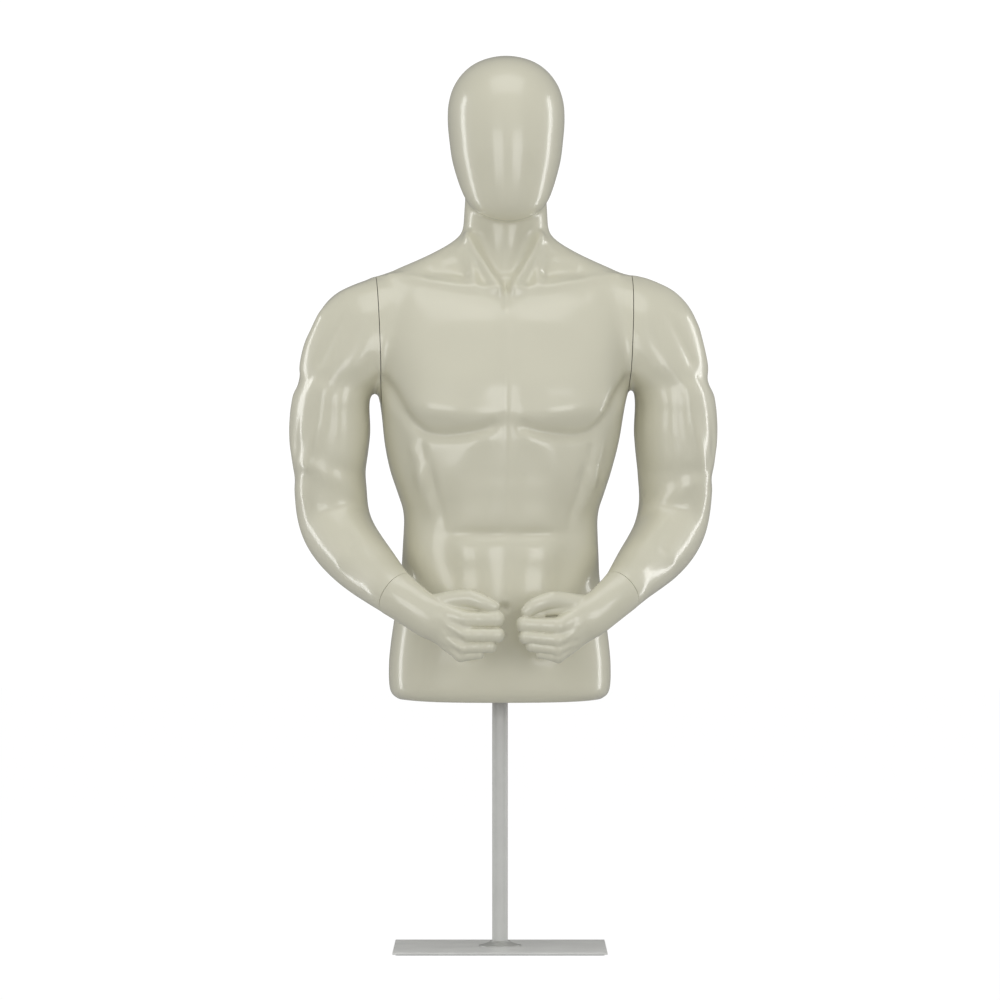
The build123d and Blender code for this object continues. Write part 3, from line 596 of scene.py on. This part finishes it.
    # upper back
    middle([(7.0, 985), (6.0, 900), (4.0, 780), (2.0, 640), (0.8, 520), (0.2, 440)], 11, -5.5, BACK)
    pair([(30, 560), (28, 640), (34, 730)], 16, 3.2, BACK)
    pair([(52, 880), (62, 840), (74, 800), (92, 772)], 9, -2.2, BACK)
    patches((95, 850), (40, 42), 4.2, face=BACK)
    pair([(70, 905), (110, 912), (155, 918)], 9, 1.8, BACK)
    patches((128, 770), (30, 60), 3.6, -14, BACK)
    pair([(38, 700), (70, 740), (110, 800)], 16, -1.2, BACK)
    # lower back and seat
    pair([(26, 470), (40, 500)], 8, -2.0, BACK)
    patches((70, 402), (48, 46), 8.0, face=BACK)
    middle([(0.2, 446), (0.0, 400), (0.0, 345)], 9, -5.0, BACK)
    middle([(0.2, 436), (0.0, 400), (0.0, 345)], 4, -1.5, BACK)
    patches((122, 420), (22, 40), -2.4, face=BACK)
    return relief


def arm_relief(points, side):
    """Height to add over one arm; x is measured outward from LEAN."""
    p = points.copy()
    p[:, 0] = (points[:, 0] - LEAN) * side
    x, y, z = p.T
    drop = 10 * side  # the left elbow fold sits lower
    # points, radius, height
    strokes = [
        # deltoid, three heads
        ([(192, -58, 890), (200, -64, 860), (216, -60, 830)], 22, 4.6),
        ([(260, -18, 890), (272, -14, 852), (280, -10, 820)], 18, 3.4),
        ([(232, 68, 890), (246, 70, 850), (262, 60, 815)], 26, 3.0),
        ([(234, -56, 896), (248, -52, 862), (260, -46, 830)], 10, -3.2),
        ([(262, 46, 890), (276, 48, 850), (284, 40, 806)], 10, -2.0),
        ([(290, 0, 806), (284, -14, 806), (272, -34, 810), (256, -50, 806)], 12, -2.8),
        ([(192, -60, 826), (214, -62, 808), (240, -60, 792)], 12, -2.2),
        # biceps, the strap beside it and the triceps
        ([(226, -60, 770), (226, -62, 735), (230, -56, 700)], 25, 3.6),
        ([(254, -50, 790), (261, -48, 745), (269, -44, 712), (278, -38, 684)], 9.5, 4.2),
        ([(246, -60, 778), (248, -60, 735), (256, -54, 700)], 8, -1.6),
        ([(268, -36, 806), (278, -30, 773), (285, -24, 738), (291, -18, 704)], 8.0, -4.6),
        ([(290, 0, 776), (297, 6, 750), (300, 10, 716)], 17, 3.4),
        ([(240, 62, 770), (240, 66, 720)], 26, 3.0),
        ([(214, 56, 760), (212, 60, 710)], 18, 1.6),
        ([(196, -24, 770), (196, -18, 720), (200, -14, 680)], 12, -1.6),
        # elbow: fold at the front, point at the back
        ([(284, -28, 696 - drop), (262, -45, 684 - drop), (232, -47, 669 - drop),
          (204, -26, 653 - drop)], 13, -1.4),
        ([(286, -26, 678 - drop), (262, -46, 666 - drop), (228, -46, 650 - drop),
          (198, -20, 633 - drop)], 11, 2.6),
        ([(246, 60, 616), (242, 56, 604)], 15, 3.6),
        ([(296, -10, 668), (296, 8, 664)], 9, -2.4),
        ([(242, 62, 690), (242, 60, 660)], 24, -1.2),
        # forearm bellies and the line between them
        ([(284, -30, 640), (276, -46, 610), (258, -68, 580), (236, -90, 556)], 20, 3.4),
        ([(218, -54, 628), (206, -76, 596), (194, -98, 566)], 18, 2.0),
        ([(250, -68, 624), (238, -82, 596), (220, -100, 568)], 9, -1.6),
        ([(262, 26, 588), (244, -6, 560), (220, -46, 534)], 16, 1.6),
        # the left shoulder is a little higher, the left upper arm a little nearer the chest
        ([(204, 5, 950), (234, 5, 936), (258, 5, 912), (276, 5, 884)], 20, 3.4 * side),
        ([(194, 0, 775), (190, 0, 740), (192, 0, 705), (196, 0, 676)], 24, 3.6 * side),
    ]
    relief = sum(stroke(p, *row) for row in strokes)
    forearm = smoothstep(-40, -70, y) * (z < 640) * (x > 100)
    return relief * np.clip(smoothstep(150, 178, x) + forearm, 0, 1)


# ---------------------------------------------------------------- the whole figure's skin
def build_body():
    grid = Grid((-306, -232, 346), (318, 132, 1274), BODY_STEP)
    grid.join((-215, -150, 340), (225, 132, 1105), stacked_ovals(TORSO))
    grid.join((-95, -130, 1015), (112, 122, 1274), head_shape(), blend=7.0)
    for side in (1, -1):
        upper = UPPER_ARM.copy()
        upper[:, 1] = LEAN + side * upper[:, 1]
        x_low, x_high = (95, 318) if side > 0 else (-306, -84)
        grid.join((x_low, -90, 640), (x_high, 100, 958), stacked_ovals(upper), blend=12.0)
        join_rods(grid, arm_path(lower_arm_rows(side), side, 9.0), blend=3.0, pad=16.0)
    grid.field = blur(grid.field)
    points, faces = surface(grid)
    faces, normal = oriented(points, faces, np.array([MIDDLE, 0, 700]))

    from_lean = np.abs(points[:, 0] - LEAN)
    lift = torso_relief(points, normal) * (1 - smoothstep(178, 205, from_lean))
    # the torso's strokes stay off the wrists in front of it
    lift *= 1 - ((points[:, 1] < -120) & (points[:, 2] < 560) & (from_lean > 60))
    for side in (1, -1):
        lift += arm_relief(points, side)
    points = relax(points + lift[:, None] * normal, faces, rounds=3, amount=0.35)

    # the elbows are one smooth form
    x, y, z = points.T
    elbow = smoothstep(172, 186, np.abs(x - LEAN)) * smoothstep(615, 640, z)
    elbow *= 1 - smoothstep(705, 740, z)
    points = relax(points, faces, rounds=16, amount=0.5 * elbow[:, None])
    # the lower rim dips at the front
    x, y, z = points.T
    points[:, 2] -= 3.2 * (1 - smoothstep(362, 430, z)) * smoothstep(20, 105, -y)
    return points, faces


# ---------------------------------------------------------------- hands
def fist(side):
    """One closed hand on a finer grid; worked out as a left hand, then mirrored."""
    hand = HANDS[side]
    knuckles, middles = np.array(hand["knuckles"]), np.array(hand["middles"])
    radii, thumb_rows = hand["radii"], hand["thumb"]
    grid = Grid((-6, -224, 392), (206, -100, 552), HAND_STEP)
    forearm = arm_path(lower_arm_rows(side), 1, 6.0)
    join_rods(grid, forearm[forearm[:, 2] < 560], blend=3.0)

    def bone(start, end, radius, radius_end, blend, ratio=1.0):
        join_rods(grid, [(*start, radius, ratio), (*end, radius_end, ratio)], blend)

    for root, knuckle, radius in zip(FINGER_ROOTS, knuckles, radii):
        bone(root, knuckle, 14.0, radius + 0.2, 8.0)
    palm_z = (knuckles[1][2] + knuckles[2][2]) / 2
    bone((118, -160, 472), (78, -163, palm_z), 19.0, 17.0, 9.0, 1.1)
    # the fist's core behind the fingers, and the web under the thumb
    bone((74, -166, knuckles[0][2] - 4), (42, -168, middles[0][2] - 4), 13.0, 12.0, 5.0)
    bone((74, -164, knuckles[2][2] + 2), (50, -166, middles[2][2] + 2), 12.0, 11.0, 5.0)
    bone((92, -170, 486), (42, -177, 480), 10.5, 8.5, 2.5)
    fingers = grid.empty()
    for knuckle, middle, radius in zip(knuckles, middles, radii):
        finger = grid.empty()
        halfway = (knuckle + middle) / 2 + np.array([0, -0.8, 0])
        join_rods(finger, [
            (*knuckle, radius + 0.2, 1),
            (*halfway, radius - 0.4, 1),
            (*middle, radius - 0.1, 1),
            (middle[0] + 2, -163, middle[2], radius - 0.9, 1),
            (middle[0] + 24, -160, middle[2] + 1, radius - 1.8, 1),
        ], blend=1.5)
        fingers.field = smooth_min(fingers.field, finger.field, 0.9)
    grid.field = smooth_min(grid.field, fingers.field, 2.5)
    # thumb over the top, its end coming down onto the first finger
    thumb = grid.empty()
    join_rods(thumb, resample([(*row, 1.0) for row in thumb_rows], 4.0), blend=1.0)
    grid.field = smooth_min(grid.field, thumb.field, 1.8)
    bone((104, -160, 486), (84, -163, 478), 14.0, 12.0, 8.0)
    if side > 0:
        bone((49, -180, 476.5), (34, -183, 476.5), 5.6, 6.2, 0.8)

    points, faces = surface(grid)
    faces, normal = oriented(points, faces, points.mean(0))
    # line, radius, height: knuckles with the tendons behind them, the grooves between,
    # creases at the bent joints, and the thumb's joint
    strokes = []
    for knuckle, root in zip(knuckles, FINGER_ROOTS):
        strokes.append(([knuckle + (4, -8, 0)], 6.0, 1.2))
        strokes.append(([knuckle + (10, -7, 0), root + (-6, -13, 0)], 4.0, 0.7))
    for knuckle, neighbour in zip(knuckles, knuckles[1:]):
        between = (knuckle + neighbour) / 2 + (7, -8, 0)
        strokes.append(([between, between + (18, 7, 6)], 4.2, -1.2))
    for middle in middles:
        crease = middle + (4, -10, 0)
        strokes.append(([crease + (0, 0, 5), crease - (0, 0, 5)], 2.4, -0.4))
    strokes.append(([np.array(thumb_rows[2][:3]) + (0, -6, 9)], 6.0, 1.2))
    relief = sum(stroke(points, *row) for row in strokes)
    points = relax(points + relief[:, None] * normal, faces, rounds=2, amount=0.25)
    return mirrored(points, side), faces if side > 0 else faces[:, ::-1]


# ---------------------------------------------------------------- mesh objects and cutting
def mesh_object(name, points, faces):
    """Object in metres, turned on the pole."""
    x, y, z = (np.asarray(points, float) / 1000.0).T
    c, s = math.cos(TURN), math.sin(TURN)
    turned = np.stack([x * c - y * s, x * s + y * c, z], 1)
    mesh = bpy.data.meshes.new(name)
    mesh.from_pydata(turned.tolist(), [], [list(map(int, face)) for face in faces])
    mesh.update()
    ob = bpy.data.objects.new(name, mesh)
    bpy.context.scene.collection.objects.link(ob)
    return ob


def face_outward(ob):
    bm = bmesh.new()
    bm.from_mesh(ob.data)
    bmesh.ops.recalc_face_normals(bm, faces=bm.faces)
    if bm.calc_volume(signed=True) < 0:
        bmesh.ops.reverse_faces(bm, faces=bm.faces)
    bm.to_mesh(ob.data)
    bm.free()


def carve(ob, cutters):
    """Cuts closed (points, faces) shapes out of an object, one after another."""
    for points, faces in cutters:
        cutter = mesh_object("cutter", points, faces)
        face_outward(cutter)
        mod = ob.modifiers.new("cut", "BOOLEAN")
        mod.operation, mod.object, mod.solver = "DIFFERENCE", cutter, "MANIFOLD"
        depsgraph = bpy.context.evaluated_depsgraph_get()
        made = bpy.data.meshes.new_from_object(ob.evaluated_get(depsgraph))
        ob.modifiers.remove(mod)
        old = ob.data
        ob.data = made
        bpy.data.meshes.remove(old)
        mesh = cutter.data
        bpy.data.objects.remove(cutter)
        bpy.data.meshes.remove(mesh)


def components(count, edges):
    """For each vertex, a label shared by everything connected to it."""
    labels = np.arange(count)
    while True:
        a, b = labels[edges[:, 0]], labels[edges[:, 1]]
        lowest = np.minimum(a, b)
        new = labels.copy()
        np.minimum.at(new, a, lowest)
        np.minimum.at(new, b, lowest)
        new = new[new]
        new = new[new]
        if (new == labels).all():
            return labels
        labels = new


def keep_part(ob, score):
    """Keeps the connected part with the highest score(points), fragments aside."""
    mesh = ob.data
    points = np.zeros(len(mesh.vertices) * 3)
    mesh.vertices.foreach_get("co", points)
    points = points.reshape(-1, 3) * 1000.0
    edges = np.zeros(len(mesh.edges) * 2, int)
    mesh.edges.foreach_get("vertices", edges)
    labels = components(len(points), edges.reshape(-1, 2))
    names, counts = np.unique(labels, return_counts=True)
    if len(names) == 1:
        return
    large = (name for name, count in zip(names, counts) if count > 200)
    best = max(large, key=lambda name: score(points[labels == name]))
    bm = bmesh.new()
    bm.from_mesh(mesh)
    bm.verts.ensure_lookup_table()
    gone = [bm.verts[int(i)] for i in np.nonzero(labels != best)[0]]
    bmesh.ops.delete(bm, geom=gone, context="VERTS")
    bm.to_mesh(mesh)
    bm.free()


# ---------------------------------------------------------------- cutter shapes
def loft(rings):
    """Closed mesh through rings of equal length."""
    n = len(rings[0])
    faces = []
    for k in range(len(rings) - 1):
        for i in range(n):
            j = (i + 1) % n
            faces.append([k * n + i, k * n + j, (k + 1) * n + j, (k + 1) * n + i])
    faces += [list(range(n))[::-1], list(range((len(rings) - 1) * n, len(rings) * n))]
    return np.concatenate(rings), faces


def unit_ring(axis, reference, count):
    """Circle of radius one square to a unit axis, starting square to the reference too."""
    x = unit(np.cross(axis, reference))
    y = np.cross(axis, x)
    angle = 2 * np.pi * np.arange(count) / count
    return np.cos(angle)[:, None] * x + np.sin(angle)[:, None] * y


def cylinder(origin, axis, radius, length, count=48):
    axis = unit(axis)
    ring = unit_ring(axis, (0, 1, 0), count)
    return loft([origin + ring * radius, origin + ring * radius + axis * length])


def screw_well(at, axis, radius, sink_radius, sink=2.6, depth=7.0):
    """A countersunk hole going in along the axis from a face."""
    flare = 0.6
    axis = unit(axis)
    ring = unit_ring(axis, (0, 0, 1.0), 20)
    return loft([
        at - axis * flare + ring * (sink_radius + flare),
        at + ring * sink_radius,
        at + axis * sink + ring * radius,
        at + axis * depth + ring * radius,
    ])


def seam_x(z, offset):
    """x, from LEAN, of the shoulder seam plane moved outward by offset."""
    return SEAM_X + (z - SHOULDER_Z) * math.tan(SEAM_TILT) + offset / math.cos(SEAM_TILT)


def seam_block(side, offset, far_x, z_low, z_high):
    """Block from a shoulder seam plane across to far_x."""
    corners = ((-230, z_low), (180, z_low), (180, z_high), (-230, z_high))
    points = [(LEAN + side * seam_x(z, offset), y, z) for y, z in corners]
    points += [(LEAN + side * far_x, y, z) for y, z in corners]
    faces = [[0, 1, 2, 3], [7, 6, 5, 4], [0, 4, 5, 1], [1, 5, 6, 2], [2, 6, 7, 3], [3, 7, 4, 0]]
    return np.array(points, float), faces


def section_ring(table, z, gap, back_gap, count=72):
    """The table's oval at a height, drawn in by the gaps."""
    x0, half, front, back, power = (np.interp(z, table[:, 0], table[:, k]) for k in range(1, 6))
    half, front, back = half - gap, front + gap, back - back_gap
    angle = 2 * np.pi * np.arange(count) / count
    c, s = np.cos(angle), np.sin(angle)
    x = x0 + half * np.sign(c) * np.abs(c) ** (2 / power)
    y = (front + back) / 2 + (back - front) / 2 * np.sign(s) * np.abs(s) ** (2 / power)
    return np.stack([x, y, np.full(count, z)], 1)


def torso_ring(z, gap, back_gap):
    ring = section_ring(TORSO, z, gap, back_gap)
    limit = seam_x(z, -WALL)
    ring[:, 0] = np.clip(ring[:, 0], LEAN - limit, LEAN + limit)
    return ring


def upper_arm_ring(z, gap, side):
    ring = section_ring(UPPER_ARM, z, gap, gap)
    ring[:, 0] = LEAN + side * np.maximum(ring[:, 0], seam_x(z, SEAM + WALL))
    return ring


def opening(gap, z_low, z_high):
    """Straight cut with the torso's outline at z 400, drawn in by the gap."""
    rings = [torso_ring(400, gap, gap), torso_ring(400, gap, gap)]
    rings[0][:, 2], rings[1][:, 2] = z_low, z_high
    return loft(rings)


def shoulder_holes(side, offset, direction):
    """Stud opening and four screw wells; direction is +1 outward along the shoulder, -1 inward."""
    c, s = math.cos(SEAM_TILT), math.sin(SEAM_TILT)
    axis = np.array([side * c, 0, -s])
    in_wall = np.array([s, 0, side * c])
    face = np.array([LEAN + side * SEAM_X, SHOULDER_Y, SHOULDER_Z]) + axis * offset
    start = face - axis * direction * OVERCUT
    out = [cylinder(start, axis * direction, 18.0, WALL + 5.0)]
    for degrees in (45, 135, 225, 315):
        a = math.radians(degrees)
        at = face + 27.0 * (math.cos(a) * np.array([0, 1, 0]) + math.sin(a) * in_wall)
        out.append(screw_well(at, axis * direction, 2.3, 4.4))
    return out


def lower_arm_hollow(side, gap, wrist, wrist_axis):
    """Hollow of the lower arm, ending just short of the wrist."""
    path = arm_path(LOWER_ARM, side, 12.0)
    path = path[(path[:, :3] - wrist) @ wrist_axis < -8.0]
    path = np.vstack([path, [*(wrist - wrist_axis * 4.2), *WRIST_ROW[3:]]])
    last = len(path) - 1
    rings = []
    for i, row in enumerate(path):
        tangent = path[min(i + 1, last), :3] - path[max(i - 1, 0), :3]
        ring = unit_ring(wrist_axis if i == last else unit(tangent), (0, 1.0, 0), 40)
        rings.append(row[:3] + (row[3] / max(row[4], 1.0) - gap) * ring)
    return loft(rings)


# ---------------------------------------------------------------- the lift-off pieces
TORSO_HOLLOW_Z = [382.2, 395, 412, 430, 460, 500, 550, 590, 630, 680, 720, 760, 795, 830, 865,
                  890, 905, 918]
ARM_HOLLOW_Z = (655, 690, 733, 762, 790, 804, 819, 833, 847, 861, 875, 889, 903, 915, 926)


def make_torso(points, faces):
    """Torso with neck and head, open below and hollow to the shoulders."""
    torso = mesh_object("torso_skin", points, faces)
    carve(torso, [seam_block(side, 0.0, 400.0, 700, 1100) for side in (1, -1)])
    keep_part(torso, len)
    steps = [382, 400, 440]
    hollow = [
        torso_ring(z, np.interp(z, steps, [4, 4, 8]), np.interp(z, steps, [10, 11, 11]))
        for z in TORSO_HOLLOW_Z
    ]
    carve(torso, [opening(26, 340, 358), opening(10, 357.5, PANEL_Z + 0.5), loft(hollow)])
    for side in (1, -1):
        carve(torso, shoulder_holes(side, 0.0, -1.0))
    return torso


def make_arm(name, points, faces, side, wrist, wrist_axis):
    """Arm, hollow from the shoulder seam to the wrist."""
    arm = mesh_object(name, points, faces)
    hand_cut = cylinder(wrist, wrist_axis, 75, 120, count=64)
    carve(arm, [seam_block(side, SEAM, -400.0, 650, 1400), hand_cut])
    keep_part(arm, lambda part: ((part[:, 0] - LEAN) * side).mean())
    gap = 8.0 if side < 0 else 9.6
    carve(arm, [
        loft([upper_arm_ring(z, 8.0, side) for z in ARM_HOLLOW_Z]),
        lower_arm_hollow(side, gap, wrist, wrist_axis),
    ])
    carve(arm, shoulder_holes(side, SEAM, 1.0))
    level = unit(np.cross((0, 0, 1.0), wrist_axis))
    carve(arm, [cylinder(wrist + wrist_axis * OVERCUT, -wrist_axis, 9.0, WALL + 6.0)])
    carve(arm, [
        screw_well(wrist + 15.0 * k * level, -wrist_axis, 1.8, 3.4, sink=1.9, depth=6.5)
        for k in (1, -1)
    ])
    return arm


def make_hand(name, side, wrist, wrist_axis):
    """Fist, cut off at the wrist seam and bored along its axis."""
    hand = mesh_object(name, *fist(side))
    carve(hand, [
        cylinder(wrist + wrist_axis * SEAM, -wrist_axis, 95, 150, count=64),
        cylinder(wrist + wrist_axis * (SEAM - OVERCUT), wrist_axis, 8.1, 19.0),
    ])
    keep_part(hand, len)
    return hand


body_points, body_faces = build_body()
# object, node it rides on, node it replaces
pieces = [(make_torso(body_points, body_faces), "torso", "torso_shell")]
for side, word in ((1, "left"), (-1, "right")):
    wrist, wrist_axis = mirrored(WRIST, side), WRIST_AXIS * np.array([side, 1, 1])
    arm = make_arm(word + "_arm_skin", body_points, body_faces, side, wrist, wrist_axis)
    pieces.append((arm, word + "_arm", word + "_arm_shell"))
    hand = make_hand(word + "_hand_skin", side, wrist, wrist_axis)
    pieces.append((hand, word + "_hand", word + "_hand"))

for ob, node, replaced in pieces:
    ob.data.shade_smooth()
    ob.data.set_sharp_from_angle(angle=math.radians(38))
    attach(ob, node)
    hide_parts(replaced)


# ---------------------------------------------------------------- finishes
def add_node(tree, kind, inputs=None):
    node = tree.nodes.new("ShaderNode" + kind)
    set_inputs(node, inputs or {})
    return node


def set_inputs(node, inputs):
    for key, value in inputs.items():
        node.inputs[key].default_value = value


def finish_material(name, colour, rough, spread, scale, bump, bump_scale, metal=0.0, coat=0.0,
                    coat_rough=0.08, stretch=(1, 1, 1)):
    """Principled finish whose colour, roughness and surface all vary with noise in object space.

    spread is the colour's share of variation, scale and bump_scale the noise frequencies.
    """
    material = bpy.data.materials.new(name)
    material.use_nodes = True
    tree = material.node_tree
    link = tree.links.new
    shader = tree.nodes["Principled BSDF"]
    place = add_node(tree, "TexCoord")
    mapping = add_node(tree, "Mapping", {"Scale": stretch})
    link(place.outputs["Object"], mapping.inputs["Vector"])
    mottle = add_node(tree, "TexNoise", {"Scale": scale, "Detail": 4})
    link(mapping.outputs["Vector"], mottle.inputs["Vector"])
    ramp = add_node(tree, "ValToRGB")
    ends = ramp.color_ramp.elements
    for end, position, share in ((ends[0], 0.3, 1 - spread), (ends[1], 0.7, 1 + spread)):
        end.position = position
        end.color = (*(c * share for c in colour), 1)
    link(mottle.outputs["Fac"], ramp.inputs["Fac"])
    link(ramp.outputs["Color"], shader.inputs["Base Color"])
    rough_range = add_node(tree, "MapRange", {
        "From Min": 0.3, "From Max": 0.7, "To Min": rough - 0.05, "To Max": rough + 0.05,
    })
    link(mottle.outputs["Fac"], rough_range.inputs["Value"])
    link(rough_range.outputs["Result"], shader.inputs["Roughness"])
    grain = add_node(tree, "TexNoise", {"Scale": bump_scale, "Detail": 2})
    link(mapping.outputs["Vector"], grain.inputs["Vector"])
    bumps = add_node(tree, "Bump", {"Strength": bump, "Distance": 0.001})
    link(grain.outputs["Fac"], bumps.inputs["Height"])
    link(bumps.outputs["Normal"], shader.inputs["Normal"])
    set_inputs(shader, {
        "Metallic": metal, "IOR": 1.5, "Coat Weight": coat, "Coat Roughness": coat_rough,
    })
    return material


PAINT = dict(spread=0.04, scale=18.0, bump=0.12, bump_scale=900.0)
gloss = finish_material(
    "body_gloss_shell", (0.70, 0.68, 0.545), rough=0.42, spread=0.015, scale=6.0,
    bump=0.05, bump_scale=60.0, coat=0.8, coat_rough=0.155)
# painted light: the plate gets a lighter copy of the stand's grey paint, so its top reads as
# brightly lit
plate_paint_lit_copy = finish_material("plate_grey_paint_painted_light", (0.73, 0.735, 0.715), rough=0.42, **PAINT)
stand_paint = finish_material(
    "stand_grey_paint", (0.64, 0.645, 0.625), rough=0.42, metal=0.1, **PAINT)
flange_paint = finish_material(
    "flange_grey_paint", (0.47, 0.475, 0.455), rough=0.34, metal=0.3, **PAINT)
by_slot = {
    "body_gloss": gloss,
    "stand_grey": stand_paint,
    "mat_rubber": finish_material(
        "mat_rubber_black", (0.03, 0.03, 0.031), rough=0.8, spread=0.2, scale=60.0,
        bump=0.4, bump_scale=1200.0),
    "nylon": finish_material(
        "nylon_dark", (0.02, 0.02, 0.021), rough=0.45, spread=0.2, scale=80.0,
        bump=0.1, bump_scale=900.0),
    "plywood": finish_material(
        "plywood_raw", (0.45, 0.30, 0.165), rough=0.62, spread=0.22, scale=14.0,
        bump=0.3, bump_scale=90.0, stretch=(1, 9, 9)),
    "brass": finish_material(
        "brass_turned", (0.62, 0.43, 0.16), rough=0.28, metal=1.0, spread=0.08, scale=60.0,
        bump=0.1, bump_scale=500.0, stretch=(1, 1, 8)),
    "zinc_steel": finish_material(
        "zinc_steel_plated", (0.50, 0.51, 0.53), rough=0.3, metal=1.0, spread=0.08, scale=70.0,
        bump=0.08, bump_scale=700.0),
}
by_node = {"pole_flange": flange_paint, "base_plate": plate_paint_lit_copy}
slots = {part["node"]: part["material_slot"] for part in frame["record"]["subparts"]}
for name, ob in frame["nodes"].items():
    ob.data.materials.clear()
    ob.data.materials.append(by_node.get(name, by_slot[slots[name]]))
for ob, _, _ in pieces:
    ob.data.materials.clear()
    ob.data.materials.append(gloss)


# ---------------------------------------------------------------- stage, lights, camera (metres)
def floor_sheet(half=14.0, n=28):
    """Wide pale floor; the room beyond it is as pale, so no horizon shows."""
    ticks = np.linspace(-half, half, n + 1)
    row = n + 1
    faces = [
        [j * row + i, j * row + i + 1, (j + 1) * row + i + 1, (j + 1) * row + i]
        for j in range(n) for i in range(n)
    ]
    mesh = bpy.data.meshes.new("floor")
    mesh.from_pydata([(x, y, 0.0) for y in ticks for x in ticks], [], faces)
    ob = bpy.data.objects.new("floor", mesh)
    bpy.context.scene.collection.objects.link(ob)
    return ob


def paper_material():
    """The camera sees overexposed paper, the object is lit by dimmer paper."""
    paper = finish_material(
        "backdrop_paper", (0.50, 0.50, 0.50), rough=0.85, spread=0.004, scale=2.0,
        bump=0.01, bump_scale=40.0)
    tree = paper.node_tree
    link = tree.links.new
    shader = tree.nodes["Principled BSDF"]
    set_inputs(shader, {
        "Emission Color": (1, 1, 1, 1), "Emission Strength": 0.03, "Specular IOR Level": 0.0,
    })
    seen = add_node(tree, "Emission", {"Strength": 1.06})
    mix = add_node(tree, "MixShader")
    path = add_node(tree, "LightPath")
    share = add_node(tree, "Math", {1: 0.93})
    share.operation = "MULTIPLY"
    link(path.outputs["Is Camera Ray"], share.inputs[0])
    link(share.outputs[0], mix.inputs["Fac"])
    link(shader.outputs[0], mix.inputs[1])
    link(seen.outputs[0], mix.inputs[2])
    link(mix.outputs[0], tree.nodes["Material Output"].inputs["Surface"])
    return paper


def softbox(name, at, aim, width, height, watts):
    light = bpy.data.lights.new(name, "AREA")
    light.shape, light.size, light.size_y = "RECTANGLE", width, height
    light.energy, light.color = watts, (1, 1, 1)
    ob = bpy.data.objects.new(name, light)
    ob.location = at
    ob.rotation_euler = (Vector(aim) - Vector(at)).to_track_quat("-Z", "Y").to_euler()
    bpy.context.scene.collection.objects.link(ob)


def room_light():
    """Room light, brightest in front and above; the camera sees plain white."""
    world = bpy.data.worlds.new("studio")
    bpy.context.scene.world = world
    world.use_nodes = True
    tree = world.node_tree
    link = tree.links.new
    dim = tree.nodes["Background"]
    way = add_node(tree, "TexCoord")
    facing = add_node(tree, "VectorMath", {1: (0.0, -0.88, 0.47)})
    facing.operation = "DOT_PRODUCT"
    level = add_node(tree, "MapRange", {
        "From Min": -0.5, "From Max": 0.95, "To Min": 0.24, "To Max": 0.57,
    })
    link(way.outputs["Generated"], facing.inputs[0])
    link(facing.outputs["Value"], level.inputs["Value"])
    link(level.outputs["Result"], dim.inputs["Strength"])
    set_inputs(dim, {"Color": (1.0, 1.0, 0.985, 1)})
    bright = add_node(tree, "Background", {"Color": (1.0, 1.0, 1.0, 1), "Strength": 1.05})
    pick = add_node(tree, "MixShader")
    ray = add_node(tree, "LightPath")
    link(ray.outputs["Is Camera Ray"], pick.inputs["Fac"])
    link(dim.outputs[0], pick.inputs[1])
    link(bright.outputs[0], pick.inputs[2])
    link(pick.outputs[0], tree.nodes["World Output"].inputs["Surface"])


def add_camera():
    lens = bpy.data.cameras.new("camera")
    lens.lens, lens.sensor_width, lens.sensor_height = 256.8, 36.0, 36.0
    lens.clip_end = 60.0
    camera = bpy.data.objects.new("camera", lens)
    camera.location = (0.0, -10.09, 0.6349)
    camera.rotation_euler = (math.pi / 2, 0, 0)
    bpy.context.scene.collection.objects.link(camera)
    bpy.context.scene.camera = camera


backdrop = floor_sheet()
backdrop.data.materials.append(paper_material())
# name, place, point aimed at, width, height, watts
for row in (
    ("key_left", (-1.45, -3.2, 0.85), (0, 0, 0.85), 1.5, 1.3, 16),
    ("key_right", (1.45, -3.2, 0.85), (0, 0, 0.85), 1.5, 1.3, 18),
    ("rim_left", (-2.0, 0.6, 1.0), (0, 0, 0.8), 0.35, 2.0, 11),
    ("rim_right", (2.0, 0.6, 1.0), (0, 0, 0.8), 0.35, 2.0, 12),
    ("overhead", (0.0, -1.0, 3.2), (0, 0, 0.85), 2.6, 1.5, 16),
):
    softbox(*row)
room_light()
add_camera()
bpy.context.scene.view_settings.view_transform = "Standard"
